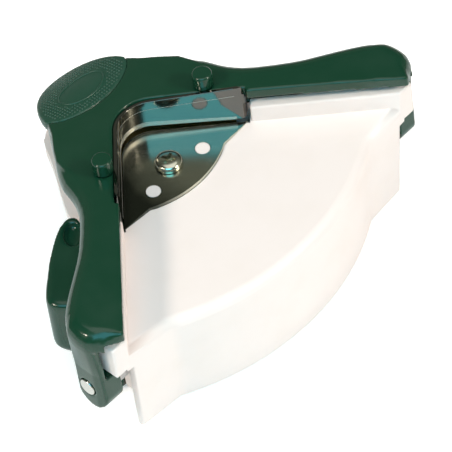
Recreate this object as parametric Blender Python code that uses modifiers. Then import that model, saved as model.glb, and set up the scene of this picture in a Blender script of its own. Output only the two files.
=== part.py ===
"""Corner rounder: a desk punch that cuts a round corner on paper slid into its V-shaped tray.

Places are measured from the corner of the V, where the two fences would meet, with the paper's side
toward -Y and the thumb pad toward +Y. Beside a fence, a point is given by how far it lies along the
fence from that corner and how far out it lies behind the fence's face.
"""
import math

import bmesh
import bpy
import numpy as np
from mathutils import Matrix, Vector

MM = 0.001
ROOT_TWO = math.sqrt(2.0)

# Whole object: the tray's datum is the foot of the fences
TRAY_HEIGHT = 36.0 * MM
FRONT_REACH = 68.5 * MM
REAR_REACH = 28.0 * MM
VERTEX_Y = (FRONT_REACH - REAR_REACH) / 2
GAP = 0.3 * MM
OVERRUN = 5.0 * MM
SPECK = 0.01 * MM
WELD = 0.001 * MM
DRAWING_WELD = 0.02 * MM
CUT_WELD = 0.005 * MM
TURN_WELD = 0.0001 * MM
CORNER_SPREAD_SHARE = 0.35
LEVEL_SHARE = 0.1
ACROSS_SHARE = 0.3
SHARP_ANGLE = math.radians(40.0)
GRID_DIGITS = 7

# Tray body
FRONT_RADIUS = 81.4 * MM
ARC_HALF_WIDTH = 41.2 * MM
FACET_Y = -56.0 * MM
SIDE_X = 57.4 * MM
SIDE_REAR_Y = -41.5 * MM
SKIRT_DRAFT_SHARE = 0.025
WALL = 2.2 * MM
DECK = 3.8 * MM
SKIRT_BOTTOM = -34.5 * MM
FRONT_EDGE_ROUND = 3.0 * MM
VALLEY_DEPTH = 0.8 * MM
VALLEY_STRIP = 9.0 * MM
WAIST_ALONG = 34.0 * MM
WAIST_OUT = 9.6 * MM
SHOULDER_ALONG = 62.0 * MM
SHOULDER_OUT = 11.0 * MM
LEDGE_DROP = 2.6 * MM

# Rear hull under the thumb pad
REAR_DECK_DROP = 10.0 * MM
LANDING_Y = 23.4 * MM
LANDING_DEPTH = 2.4 * MM
REAR_HALF_WIDTH = 25.5 * MM
REAR_OUTLINE_SHARES = ((0.0, 1.0), (0.17, 0.975), (0.32, 0.885), (0.43, 0.765), (0.54, 0.58),
                       (0.71, 0.34), (0.85, 0.15), (1.0, -0.08), (1.08, -0.28))
REAR_DRAFT_SHARE = 0.15
SPLIT_DROP = 20.0 * MM

# Fences
FENCE_START = 37.0 * MM
FENCE_HEIGHT = 5.6 * MM
FENCE_THICKNESS = 3.8 * MM
FENCE_BLOCK_DROP = 6.0 * MM
FENCE_BLOCK_X = 61.2 * MM
FENCE_BLOCK_REAR_Y = -42.5 * MM
SIDE_LEDGE = 7.0 * MM
SKIRT_TURN = 9.1 * MM
SKIRT_CORNER_ROUND = 1.2 * MM
FENCE_EDGE_ROUND = 0.6 * MM

# Die plate and its screw and pegs
PLATE_THICKNESS = 2.0 * MM
PLATE_RISE = 0.2 * MM
PLATE_LEG = 36.0 * MM
PLATE_FRONT_Y = -25.6 * MM
PLATE_BOW_HALF_WIDTH = 15.2 * MM
PLATE_BOW_DEPTH = 4.0 * MM
CORNER_RADIUS = 9.0 * MM
PEG_X = 10.1 * MM
PEG_Y = -22.1 * MM
PEG_HOLE_RADIUS = 2.2 * MM
DIE_SCREW_Y = -18.6 * MM
DIE_SCREW_HEAD_RADIUS = 4.0 * MM
DIE_SCREW_HEAD_HEIGHT = 2.2 * MM
DIE_SCREW_RADIUS = 2.0 * MM
DIE_SCREW_LENGTH = 11.0 * MM
HEAD_RIM_SHARE = 0.45
SCREW_BOSS_RADIUS = 4.0 * MM
HOLE_CLEARANCE = 0.1 * MM

# Well behind the die plate, where the blade comes down
WELL_OUT = 7.2 * MM
WELL_RIB = 2.0 * MM
WELL_END = 36.6 * MM
WELL_OVERHANG = 0.4 * MM

# Hinge across the front ends of the arms
HINGE_Y = -47.3 * MM
HINGE_DROP = 12.5 * MM
PIN_RADIUS = 2.6 * MM
PIN_CLEARANCE = 0.08 * MM
PIN_PROUD = 0.3 * MM
PIN_RIM = 0.3 * MM
PIN_RIM_DEPTH = 0.5 * MM
HINGE_BOSS_RADIUS = 4.8 * MM
PIN_DEPTH = 4.9 * MM
LUG_RADIUS = 5.0 * MM
LUG_Y = -48.5 * MM
LUG_DROP = 14.8 * MM
EAR_OUTER_X = 65.0 * MM
EAR_INNER_X = 62.6 * MM
EAR_ROUND = 1.0 * MM
EAR_LEAN = 1.3 * MM
EAR_TOP_LAP = 0.4 * MM
LUG_TOP_DROP = 7.4 * MM

# Lever
ARM_REACH = 83.5 * MM
ARM_SPREAD = 20.0 * MM
ARM_OUTLINE_SHARES = ((0.166, 0.905), (0.217, 0.875), (0.263, 0.845), (0.311, 0.78), (0.36, 0.67),
                      (0.406, 0.60), (0.471, 0.565), (0.595, 0.59), (0.677, 0.65), (0.757, 0.725),
                      (0.837, 0.785), (0.889, 0.79), (0.92, 0.745))
ARM_END_SHARES = ((0.978, 0.512), (0.993, 0.40), (0.996, 0.283), (0.990, 0.175), (0.9855, 0.095))
ARM_END_ALONG_SHARE = 0.977
PAD_WIDEST_Y = 12.5 * MM
PAD_HALF_WIDTH = 15.6 * MM
PAD_FRONT_DEPTH = 7.3 * MM
PAD_REAR_DEPTH = 14.2 * MM
PAD_FRONT_POWER = 1.2
PAD_REAR_POWER = 1.4
LEVER_FACE_OUT = 0.1 * MM
CREST_Y = -24.0 * MM
CREST_HEIGHT = 12.8 * MM
REAR_ARCH_RADIUS = 310.0 * MM
FRONT_ARCH_RADIUS = 450.0 * MM
PAD_ARCH_RADIUS = 29.0 * MM
LEVER_TOP_WALL = 3.4 * MM
LEVER_SKIRT = 6.0 * MM
LEVER_REAR_SKIRT = 4.2 * MM
LEVER_SIDE_WALL = 2.2 * MM
LEVER_OUTER_ROUND = 4.4 * MM
LEVER_INNER_ROUND = 0.9 * MM
LEVER_REAR_ROUND = 1.0 * MM
CROWN_SHARES = ((0.0825, 0.935), (0.166, 0.905), (0.217, 0.87), (0.27, 0.74), (0.33, 0.55), (0.30, 0.30))
BEND_STEPS = 16
PAD_THICKNESS = 2.0 * MM
PAD_FLOOR = 1.4 * MM
PAD_EDGE_ROUND = 0.5 * MM
PAD_SEAT_SHARE = 1.02

# Blade
BLADE_THICKNESS = 1.0 * MM
BLADE_CLEARANCE = 0.05 * MM
BLADE_END = 34.0 * MM
BLADE_TURN = 2.2 * MM
BLADE_TURN_RADIUS = 1.2 * MM
BLADE_TOP_FRONT = 14.1 * MM
BLADE_TOP_REAR = 11.6 * MM
BLADE_EDGE_FRONT = 1.5 * MM
BLADE_EDGE_REAR = 5.7 * MM
BLADE_FRONT_Y = -24.5 * MM
BLADE_REAR_Y = -4.0 * MM
BLADE_SLOT = 0.3 * MM
FLANGE_OUT = 6.6 * MM
FLANGE_THICKNESS = 1.2 * MM
FLANGE_END = 27.0 * MM

# Posts and their screws
POST_X = 20.3 * MM
POST_Y = -14.6 * MM
POST_RADIUS = 2.9 * MM
POST_RISE = 5.0 * MM
POST_ROUND = 0.7 * MM
POST_SHANK_RADIUS = 2.1 * MM
POST_SCREW_RADIUS = 1.1 * MM
POST_SCREW_LENGTH = 7.0 * MM
POST_SCREW_HEAD_RADIUS = 2.2 * MM
POST_SCREW_HEAD = 1.2 * MM

# Return springs on the rear deck
SPRING_X = 11.0 * MM
SPRING_Y = 9.5 * MM
SPRING_RADIUS = 3.2 * MM
SPRING_WIRE = 0.35 * MM
SPRING_TURNS = 5
SPRING_POINTS = 10
SPRING_PEG_RADIUS = 2.2 * MM
SPRING_PEG_HEIGHT = 3.0 * MM

# Base
BASE_BOTTOM = -35.2 * MM
BASE_FLOOR = 2.2 * MM
FLOOR_STEP = 0.1 * MM
WING_TOP = -2.0 * MM
WING_REACH = 59.5 * MM
WING_SPREAD = 22.3 * MM
WING_OUTLINE_SHARES = ((0.459, 0.70), (0.503, 0.81), (0.62, 0.906), (0.768, 0.975), (0.879, 1.01),
                       (0.95, 1.0), (0.985, 0.92), (0.996, 0.78), (1.0, 0.60))
WING_MIDDLE_SHARE = 0.67
WING_ROOT_OUT = 9.0 * MM
WING_ROOT_CLEARANCE = 0.5 * MM
WING_DEPTH = 19.0 * MM
WING_LENGTH_TAPER_SHARE = 0.35
WING_OUT_TAPER_SHARE = 0.8
WING_ROUND = 3.0 * MM
WING_POCKET_ALONG = 33.5 * MM
WING_POCKET_OUT = 14.6 * MM
WING_POCKET_LENGTH = 8.4 * MM
WING_POCKET_WIDTH = 5.0 * MM
WING_POCKET_DEPTH = 2.0 * MM
CHIP_OPENING_WIDTH = 34.0 * MM
CHIP_OPENING_DEPTH = 16.0 * MM
CHIP_OPENING_Y = -16.0 * MM
BASE_SCREW_FRONT_X = 33.0 * MM
BASE_SCREW_FRONT_Y = -50.0 * MM
BASE_SCREW_REAR_Y = 16.5 * MM
BASE_SCREW_RADIUS = 1.5 * MM
BASE_SCREW_LENGTH = 10.0 * MM
BASE_SCREW_HEAD_RADIUS = 2.8 * MM
BASE_SCREW_HEAD = 1.6 * MM
BASE_BOSS_RADIUS = 3.6 * MM
FOOT_FRONT_X = 36.0 * MM
FOOT_FRONT_Y = -40.0 * MM
FOOT_REAR_X = 12.0 * MM
FOOT_REAR_Y = 3.0 * MM
FOOT_RADIUS = 5.0 * MM
FOOT_SEAT = 1.0 * MM
FOOT_BOTTOM = -TRAY_HEIGHT

# Colours
WHITE = (0.80, 0.77, 0.72)
GREEN = (0.011, 0.050, 0.028)
PAD_GREEN = (0.030, 0.095, 0.055)
STEEL = (0.62, 0.63, 0.62)
DARK_RUBBER = (0.03, 0.03, 0.03)


# Scene and collections
for leftover in list(bpy.data.objects):
    bpy.data.objects.remove(leftover, do_unlink=True)

PARTS = bpy.data.collections.new("corner_rounder")
CUTTERS = bpy.data.collections.new("cutters")
bpy.context.scene.collection.children.link(PARTS)
bpy.context.scene.collection.children.link(CUTTERS)


def make_material(name, colour, roughness, metallic=0.0):
    material = bpy.data.materials.new(name)
    material.use_nodes = True
    shader = material.node_tree.nodes["Principled BSDF"]
    shader.inputs["Base Color"].default_value = (*colour, 1.0)
    shader.inputs["Roughness"].default_value = roughness
    shader.inputs["Metallic"].default_value = metallic
    material.diffuse_color = (*colour, 1.0)
    return material


WHITE_PLASTIC = make_material("white_plastic", WHITE, 0.45)
GREEN_PLASTIC = make_material("green_plastic", GREEN, 0.18)
PAD_PLASTIC = make_material("pad_plastic", PAD_GREEN, 0.5)
BRIGHT_STEEL = make_material("bright_steel", STEEL, 0.12, 1.0)
SPRING_STEEL = make_material("spring_steel", STEEL, 0.3, 1.0)
RUBBER = make_material("rubber", DARK_RUBBER, 0.8)


# Places
def spot(x, y, height):
    """World point from a place measured off the V corner and the tray's datum."""
    return Vector((x, VERTEX_Y + y, TRAY_HEIGHT + height))


def beside_fence(along, out):
    """Plan point on the right-hand side, measured along the fence and out behind its face."""
    return ((along + out) / ROOT_TWO, (out - along) / ROOT_TWO)


def mirrored(right_half):
    """Closed outline from its right half, which runs from the rear of the middle line to the front."""
    left_half = [(-x, y) for x, y in reversed(right_half) if x > SPECK]
    return list(right_half) + left_half


def arc(centre, radius, start, end, steps):
    """Points on an arc, with both ends."""
    angles = np.linspace(start, end, steps + 1)
    return [(centre[0] + radius * math.cos(a), centre[1] + radius * math.sin(a)) for a in angles]


def fillet(before, corner, after, radius, steps):
    """Points on the arc that rounds a corner between two straight lines."""
    corner = Vector(corner)
    back = (Vector(before) - corner).normalized()
    ahead = (Vector(after) - corner).normalized()
    half_angle = back.angle(ahead) / 2
    centre = corner + (back + ahead).normalized() * radius / math.sin(half_angle)
    first = corner + back * radius / math.tan(half_angle) - centre
    last = corner + ahead * radius / math.tan(half_angle) - centre
    start = math.atan2(first.y, first.x)
    sweep = (math.atan2(last.y, last.x) - start + math.pi) % (2 * math.pi) - math.pi
    return arc(centre, radius, start, start + sweep, steps)


def smooth_run(points, steps):
    """Points along a smooth curve through the given ones, with both ends."""
    run = []
    padded = [points[0], *points, points[-1]]
    for index in range(1, len(padded) - 2):
        before, start, end, after = (Vector(p) for p in padded[index - 1:index + 3])
        for step in range(steps):
            t = step / steps
            bend = (2 * start - 2 * end + (end - before) / 2 + (after - start) / 2) * t ** 3
            turn = (3 * end - 3 * start - (end - before) - (after - start) / 2) * t ** 2
            run.append(tuple(start + (end - before) / 2 * t + turn + bend))
    run.append(tuple(points[-1]))
    return run


def inset(outline, distance):
    """Outline moved inward by one distance, corner by corner."""
    count = len(outline)
    area = sum(outline[i][0] * outline[(i + 1) % count][1] - outline[(i + 1) % count][0] * outline[i][1]
               for i in range(count))
    turn = math.copysign(1.0, area)
    moved = []
    for i in range(count):
        before, here, after = (Vector(outline[(i + k) % count]) for k in (-1, 0, 1))
        first = (here - before).normalized()
        second = (after - here).normalized()
        normal = Vector((-(first + second).y, (first + second).x)) * turn
        normal.normalize()
        spread = max(normal.dot(Vector((-first.y, first.x)) * turn), CORNER_SPREAD_SHARE)
        moved.append(tuple(here + normal * distance / spread))
    return moved


# Solids
def link(mesh, name, collection=PARTS, material=None):
    obj = bpy.data.objects.new(name, mesh)
    collection.objects.link(obj)
    if collection is CUTTERS:
        obj.hide_render = True
        obj.display_type = "WIRE"
    if material is not None:
        mesh.materials.clear()
        mesh.materials.append(material)
    return obj


def evaluated_mesh(obj):
    graph = bpy.context.evaluated_depsgraph_get()
    mesh = bpy.data.meshes.new_from_object(obj.evaluated_get(graph))
    mesh.transform(obj.matrix_world)
    return mesh


def slab(name, outline, low, high, collection=CUTTERS, material=None):
    """Flat piece from a plan outline measured off the V corner, between two heights off the datum."""
    curve = bpy.data.curves.new(name, "CURVE")
    curve.dimensions = "2D"
    curve.fill_mode = "BOTH"
    curve.extrude = (high - low) / 2
    spline = curve.splines.new("POLY")
    spline.points.add(len(outline) - 1)
    for point, (x, y) in zip(spline.points, outline):
        point.co = (x, y, 0.0, 1.0)
    spline.use_cyclic_u = True
    drawing = bpy.data.objects.new(name + "_outline", curve)
    drawing.location = spot(0.0, 0.0, (low + high) / 2)
    CUTTERS.objects.link(drawing)
    bpy.context.view_layer.update()
    mesh = evaluated_mesh(drawing)
    bpy.data.objects.remove(drawing)
    shape = bmesh.new()
    shape.from_mesh(mesh)
    bmesh.ops.remove_doubles(shape, verts=shape.verts, dist=DRAWING_WELD)
    bmesh.ops.dissolve_limit(shape, angle_limit=math.radians(1.0), verts=shape.verts, edges=shape.edges)
    bmesh.ops.recalc_face_normals(shape, faces=shape.faces)
    shape.to_mesh(mesh)
    shape.free()
    snap(mesh)
    return link(mesh, name, collection, material)


def drum(name, centre, radius, depth, axis="Z", segments=32, top_radius=None, collection=CUTTERS,
         material=None):
    """Cylinder or cone about an axis through its centre point."""
    shape = bmesh.new()
    turn = {"Z": Matrix(), "X": Matrix.Rotation(math.pi / 2, 4, "Y")}[axis]
    bmesh.ops.create_cone(shape, cap_ends=True, segments=segments, radius1=radius,
                          radius2=radius if top_radius is None else top_radius, depth=depth,
                          matrix=Matrix.Translation(centre) @ turn)
    mesh = bpy.data.meshes.new(name)
    shape.to_mesh(mesh)
    shape.free()
    snap(mesh)
    return link(mesh, name, collection, material)


def block(name, low_corner, high_corner, collection=CUTTERS, material=None):
    """Box between two world corners."""
    shape = bmesh.new()
    size = Vector(high_corner) - Vector(low_corner)
    middle = (Vector(high_corner) + Vector(low_corner)) / 2
    bmesh.ops.create_cube(shape, size=1.0,
                          matrix=Matrix.Translation(middle) @ Matrix.Diagonal((*size, 1.0)))
    mesh = bpy.data.meshes.new(name)
    shape.to_mesh(mesh)
    shape.free()
    snap(mesh)
    return link(mesh, name, collection, material)


def combine(obj, other, operation):
    """Boolean with a helper solid, which is used up."""
    modifier = obj.modifiers.new(operation.lower(), "BOOLEAN")
    modifier.operation = operation
    modifier.solver = "EXACT"
    modifier.object = other
    bpy.context.view_layer.update()
    mesh = evaluated_mesh(obj)
    materials = list(obj.data.materials)
    obj.modifiers.clear()
    obj.data = mesh
    obj.data.materials.clear()
    for material in materials:
        obj.data.materials.append(material)
    for polygon in obj.data.polygons:
        polygon.material_index = 0
    bpy.data.objects.remove(other)
    tidy(obj)


def tidy(obj):
    """Weld the specks that a cut leaves."""
    shape = bmesh.new()
    shape.from_mesh(obj.data)
    bmesh.ops.remove_doubles(shape, verts=shape.verts, dist=CUT_WELD)
    bmesh.ops.dissolve_degenerate(shape, edges=shape.edges, dist=CUT_WELD)
    shape.to_mesh(obj.data)
    shape.free()


def cut(obj, *cutters):
    for cutter in cutters:
        combine(obj, cutter, "DIFFERENCE")


def join(obj, *others):
    for other in others:
        combine(obj, other, "UNION")


def snap(mesh):
    """Put the vertices on one fine grid, so that faces meant to be level are exactly level."""
    for vertex in mesh.vertices:
        vertex.co = [round(value, GRID_DIGITS) for value in vertex.co]


def reshape(obj, move, stays_flat=False):
    """Move each vertex of a solid by a rule given on places off the V corner and the datum.

    Faces that don't stay flat are split in triangles, so that later cuts meet flat faces only.
    """
    origin = spot(0.0, 0.0, 0.0)
    for vertex in obj.data.vertices:
        vertex.co = origin + Vector(move(*(vertex.co - origin)))
    if not stays_flat:
        shape = bmesh.new()
        shape.from_mesh(obj.data)
        bmesh.ops.triangulate(shape, faces=shape.faces)
        shape.to_mesh(obj.data)
        shape.free()
    snap(obj.data)


def round_edges(obj, chosen, radius, segments, clamp=True, least_angle=0.0):
    """Round the edges that a rule picks by their middle and direction, if their faces meet sharply."""
    origin = spot(0.0, 0.0, 0.0)
    shape = bmesh.new()
    shape.from_mesh(obj.data)
    sharp = [edge for edge in shape.edges if edge.calc_face_angle(math.pi) > least_angle]
    picked = [edge for edge in sharp
              if chosen((edge.verts[0].co + edge.verts[1].co) / 2 - origin,
                        (edge.verts[1].co - edge.verts[0].co).normalized())]
    bmesh.ops.bevel(shape, geom=picked, offset=radius, segments=segments, profile=0.5,
                    affect="EDGES", clamp_overlap=clamp)
    shape.to_mesh(obj.data)
    shape.free()
    snap(obj.data)


def shade(obj, angle=35.0):
    obj.data.shade_smooth()
    obj.data.set_sharp_from_angle(angle=math.radians(angle))


def finish(obj, material, hinge=None):
    """Keep a finished solid as a piece, on the hinge's empty if it moves."""
    for collection in list(obj.users_collection):
        collection.objects.unlink(obj)
    PARTS.objects.link(obj)
    obj.hide_render = False
    obj.display_type = "TEXTURED"
    obj.data.materials.clear()
    obj.data.materials.append(material)
    for polygon in obj.data.polygons:
        polygon.material_index = 0
    if hinge is not None:
        obj.data.transform(Matrix.Translation(-hinge.location))
        obj.parent = hinge
    shade(obj)
    return obj


# Outlines shared by pieces that fit each other
def front_arc(steps):
    """Right half of the skirt's front, from the end of the arc to the middle line."""
    centre = (0.0, FRONT_RADIUS - FRONT_REACH)
    sweep = math.asin(ARC_HALF_WIDTH / FRONT_RADIUS)
    return arc(centre, FRONT_RADIUS, sweep - math.pi / 2, -math.pi / 2, steps)


def hull_rear():
    """Right half of the rear hull, from the rear of the middle line to the flank's front end."""
    points = [(x * REAR_HALF_WIDTH, y * REAR_REACH) for x, y in REAR_OUTLINE_SHARES]
    return smooth_run(points, 2)


def flank():
    """Right side of the body from the waist to the front facet."""
    return [beside_fence(WAIST_ALONG, WAIST_OUT), beside_fence(SHOULDER_ALONG, SHOULDER_OUT),
            (SIDE_X, SIDE_REAR_Y), (SIDE_X, FACET_Y)]


def shoulder():
    return beside_fence(SHOULDER_ALONG, SHOULDER_OUT)


def turned_side():
    """Right side of the skirt below the fence's block, which turns back from the corner along the fence."""
    turn_x = SIDE_X - SKIRT_TURN
    return [beside_fence(WAIST_ALONG, WAIST_OUT), shoulder(), (turn_x, SIDE_REAR_Y),
            (turn_x, FACET_Y + SKIRT_TURN), (SIDE_X, FACET_Y)]


def body_outline():
    """Whole footprint of the white body and the base."""
    return mirrored(hull_rear() + flank() + front_arc(14))


def tray_outline():
    """Upper body: the tray, the fences' feet and the rib behind the blade's well."""
    return mirrored(rib_line() + flank() + front_arc(14))


def rib_line():
    """Right half of the outer side of the rib behind the well."""
    rib_out = WELL_OUT + WELL_RIB
    return v_line(rib_out, CORNER_RADIUS + rib_out, WAIST_ALONG - WELL_RIB, 6)


def rear_outline():
    """Rear hull with its front end under the tray."""
    front = [beside_fence(WAIST_ALONG, WAIST_OUT), (0.0, -WAIST_ALONG / ROOT_TWO)]
    return mirrored(hull_rear() + front)


def tub_outline():
    """Part of the base that closes the body behind the skirt."""
    front = [beside_fence(WAIST_ALONG, WAIST_OUT), shoulder(), (SIDE_X - SKIRT_TURN, SIDE_REAR_Y + GAP),
             (0.0, SIDE_REAR_Y + GAP)]
    return mirrored(hull_rear() + front)


def v_line(out, radius, end, steps):
    """Right half of a line along the fences with a round corner, from the middle line outward."""
    corner_y = out * ROOT_TWO
    centre_y = corner_y - radius * ROOT_TWO
    run = arc((0.0, centre_y), radius, math.pi / 2, math.pi / 4, steps)
    run.append(beside_fence(end, out))
    return run


def plate_outline(shrink=0.0):
    """Die plate: round corner at the rear, two legs, and a bowed front edge."""
    rear = v_line(-shrink, CORNER_RADIUS - shrink, PLATE_LEG - shrink, 8)
    bow_radius = (PLATE_BOW_HALF_WIDTH ** 2 + PLATE_BOW_DEPTH ** 2) / (2 * PLATE_BOW_DEPTH)
    sweep = math.asin(PLATE_BOW_HALF_WIDTH / bow_radius)
    centre = (0.0, PLATE_FRONT_Y - PLATE_BOW_DEPTH + bow_radius)
    bow = arc(centre, bow_radius - shrink, sweep - math.pi / 2, -math.pi / 2, 8)
    return mirrored(rear + bow)


def lever_outline():
    """Lever in plan: the pad's oval at the rear, the arms' outer edges, round ends, inner faces."""
    right = pad_rim(math.pi / 2, 0.0, 10)
    places = [beside_fence(a * ARM_REACH, o * ARM_SPREAD) for a, o in ARM_OUTLINE_SHARES]
    right.extend(smooth_run([right[-1], *places], 2)[1:])
    right.append((EAR_OUTER_X, HINGE_Y))
    right.extend(beside_fence(a * ARM_REACH, o * ARM_SPREAD) for a, o in ARM_END_SHARES)
    right = [(min(x, EAR_OUTER_X), y) for x, y in right]
    end_along = ARM_END_ALONG_SHARE * ARM_REACH
    inner = v_line(LEVER_FACE_OUT, CORNER_RADIUS + LEVER_FACE_OUT, end_along, 6)
    return mirrored(right + list(reversed(inner)))


def crown_outline():
    """Rear of the lever, round the pad, whose edge stays sharp until it sinks in the arms' rounding."""
    right = pad_rim(math.pi / 2, 0.0, 10)
    right.extend(beside_fence(a * ARM_REACH, o * ARM_SPREAD) for a, o in CROWN_SHARES)
    inner_out = CROWN_SHARES[-1][1] * ARM_SPREAD
    right.append((0.0, inner_out * ROOT_TWO - CORNER_RADIUS))
    return mirrored(right)


def pad_rim(start, end, steps, share=1.0):
    """Points on the pad's oval, blunter at its front than at its rear."""
    rim = []
    for angle in np.linspace(start, end, steps + 1):
        rise = math.sin(angle)
        depth = PAD_REAR_DEPTH * rise ** PAD_REAR_POWER if rise > 0.0 else \
            -PAD_FRONT_DEPTH * (-rise) ** PAD_FRONT_POWER
        rim.append((PAD_HALF_WIDTH * math.cos(angle) * share, PAD_WIDEST_Y + depth * share))
    return rim


def arch(y):
    """Height of the arms' arched top over a plan place."""
    radius = REAR_ARCH_RADIUS if y > CREST_Y else FRONT_ARCH_RADIUS
    return CREST_HEIGHT - (y - CREST_Y) ** 2 / (2 * radius)


def lever_top(y):
    """Height of the lever's top, which falls off in a tighter arch from the pad's front edge."""
    pad_front_y = PAD_WIDEST_Y - PAD_FRONT_DEPTH
    if y < pad_front_y:
        return arch(y)
    return arch(pad_front_y) - (y - pad_front_y) ** 2 / (2 * PAD_ARCH_RADIUS)


def lever_ceiling(y):
    """Underside of the lever's top wall, lower where the pad lies."""
    under_pad = y > PAD_WIDEST_Y - PAD_FRONT_DEPTH
    wall = PAD_THICKNESS + GAP + PAD_FLOOR if under_pad else LEVER_TOP_WALL
    return lever_top(y) - wall


def pad_outline(share=1.0):
    """Oval of the thumb pad."""
    return pad_rim(0.0, 2 * math.pi, 40, share)[:-1]


def slice_across(obj, start_y, end_y, steps):
    """Add edges across a solid at even steps in depth, so that it can be bent."""
    shape = bmesh.new()
    shape.from_mesh(obj.data)
    for y in np.linspace(start_y, end_y, steps + 1)[1:-1]:
        bmesh.ops.bisect_plane(shape, geom=shape.verts[:] + shape.edges[:] + shape.faces[:],
                               dist=WELD, plane_co=spot(0.0, float(y), 0.0), plane_no=(0.0, 1.0, 0.0))
    shape.to_mesh(obj.data)
    shape.free()


def slice_level(obj, height):
    """Add edges round a solid at one height, so that its foot can be drawn in."""
    shape = bmesh.new()
    shape.from_mesh(obj.data)
    bmesh.ops.bisect_plane(shape, geom=shape.verts[:] + shape.edges[:] + shape.faces[:],
                           dist=WELD, plane_co=spot(0.0, 0.0, height), plane_no=(0.0, 0.0, 1.0))
    shape.to_mesh(obj.data)
    shape.free()


# Pieces
def tray_body():
    body = drafted(slab("tray_body", tray_outline(), SKIRT_BOTTOM, 0.0))
    cut(body, valley(), ledge_room())
    round_edges(body, is_front_edge, FRONT_EDGE_ROUND, 4)
    cut(body, block("side_step", spot(-2 * SIDE_X, SIDE_REAR_Y, SKIRT_BOTTOM - OVERRUN),
                    spot(2 * SIDE_X, 2 * REAR_REACH, -SPLIT_DROP)))
    hull = slab("rear_hull", rear_outline(), -SPLIT_DROP, -REAR_DECK_DROP)
    slice_level(hull, upright_foot())
    reshape(hull, drawn_in)
    join(body, hull)
    cut(body, tray_hollow(), side_wedge(1), side_wedge(-1), rear_hollow(), deck_hollow(), landing())
    join(body, fence(1), fence(-1), *bosses())
    cut(body, well(), plate_seat())
    join(body, *pegs())
    cut(body, *body_holes())
    return finish(body, WHITE_PLASTIC)


def ledge_room():
    """Space over the ledge that lies outside the fences."""
    outer = v_line(SIDE_X, SIDE_X + CORNER_RADIUS, 2 * ARM_REACH, 2)
    inner = v_line(FENCE_THICKNESS, FENCE_THICKNESS + CORNER_RADIUS, 2 * ARM_REACH, 6)
    return slab("ledge_room", well_outline(outer, inner), -LEDGE_DROP, FENCE_HEIGHT)


def drafted(obj):
    """Lean the skirt inward toward the table."""
    def lean(x, y, height):
        share = 1.0 + SKIRT_DRAFT_SHARE * height / TRAY_HEIGHT
        return (x * share, y * share if y < 0.0 else y, height)

    reshape(obj, lean, stays_flat=True)
    return obj


def upright_foot():
    """Height down to which the rear hull stays upright."""
    return -REAR_DECK_DROP - LANDING_DEPTH - WALL


def drawn_in(x, y, height):
    """Draw the rear hull in below its upright part, in step with the depth."""
    depth_share = max(0.0, upright_foot() - height) / (TRAY_HEIGHT + upright_foot())
    share = 1.0 - REAR_DRAFT_SHARE * depth_share
    if y < -WAIST_OUT:
        return (x, y, height)
    return (x * share, y * share if y > 0.0 else y, height)


def is_front_edge(middle, direction):
    top = middle.z > -VALLEY_DEPTH - SPECK and abs(direction.z) < LEVEL_SHARE
    return top and middle.y < FACET_Y + SPECK and abs(direction.x) > ACROSS_SHARE


def tray_hollow():
    """Hollow inside the skirt, under the tray's deck."""
    outline = mirrored(rib_line() + turned_side() + front_arc(14))
    return drafted(slab("tray_hollow", inset(outline, WALL), SKIRT_BOTTOM - OVERRUN, -DECK - VALLEY_DEPTH))


def side_wedge(side):
    """Cut that turns the skirt's side back from its front corner, below the fence's end block."""
    corner = fillet(turned_side()[-2], turned_side()[-1], front_arc(14)[0], SKIRT_CORNER_ROUND, 4)
    right = [(SIDE_X + OVERRUN, FACET_Y - OVERRUN), (SIDE_X + OVERRUN, shoulder()[1])]
    right += [*turned_side()[1:-1], *corner, (corner[-1][0], FACET_Y - OVERRUN)]
    return drafted(slab("side_wedge", [(side * x, y) for x, y in right], SKIRT_BOTTOM - OVERRUN,
                        -SIDE_LEDGE))


def rear_hollow():
    """Hollow of the rear hull, up to the deck under the lever's landing."""
    hollow = slab("rear_hollow", inset(rear_outline(), WALL), SKIRT_BOTTOM - OVERRUN, upright_foot())
    reshape(hollow, drawn_in)
    return hollow


def deck_hollow():
    """Rest of that hollow, up to the higher deck in front of the landing."""
    outline = [(x, min(y, LANDING_Y - WALL)) for x, y in inset(rear_outline(), WALL + GAP)]
    return slab("deck_hollow", outline, upright_foot() - OVERRUN, -REAR_DECK_DROP - WALL)


def landing():
    """Lower place at the deck's rear, where the lever's tip comes down."""
    return block("landing", spot(-REAR_HALF_WIDTH, LANDING_Y, -REAR_DECK_DROP - LANDING_DEPTH),
                 spot(REAR_HALF_WIDTH, REAR_REACH + OVERRUN, OVERRUN))


def fence(side):
    """Fence with its end block, which stands out past the body's side."""
    rear_x = FENCE_THICKNESS * ROOT_TWO - FENCE_BLOCK_REAR_Y
    right = [beside_fence(FENCE_START, 0.0), (-FACET_Y, FACET_Y), (FENCE_BLOCK_X, FACET_Y),
             (FENCE_BLOCK_X, FENCE_BLOCK_REAR_Y), (rear_x, FENCE_BLOCK_REAR_Y),
             beside_fence(FENCE_START, FENCE_THICKNESS)]
    wall = slab("fence", [(side * x, y) for x, y in right], -FENCE_BLOCK_DROP, FENCE_HEIGHT)
    round_edges(wall, lambda middle, direction: True, FENCE_EDGE_ROUND, 2)
    return wall


def valley():
    """Shallow dip of the tray's floor, with a sloping strip along each fence."""
    reach = 3 * FRONT_REACH
    outline = [(0.0, 0.0), (-reach, -reach), (reach, -reach)]
    dip = slab("valley", outline, -VALLEY_DEPTH, VALLEY_DEPTH)
    shift = VALLEY_STRIP * ROOT_TWO

    def slope(x, y, height):
        return (x, y - shift if height < 0.0 else y + shift, height)

    reshape(dip, slope)
    return dip


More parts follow.
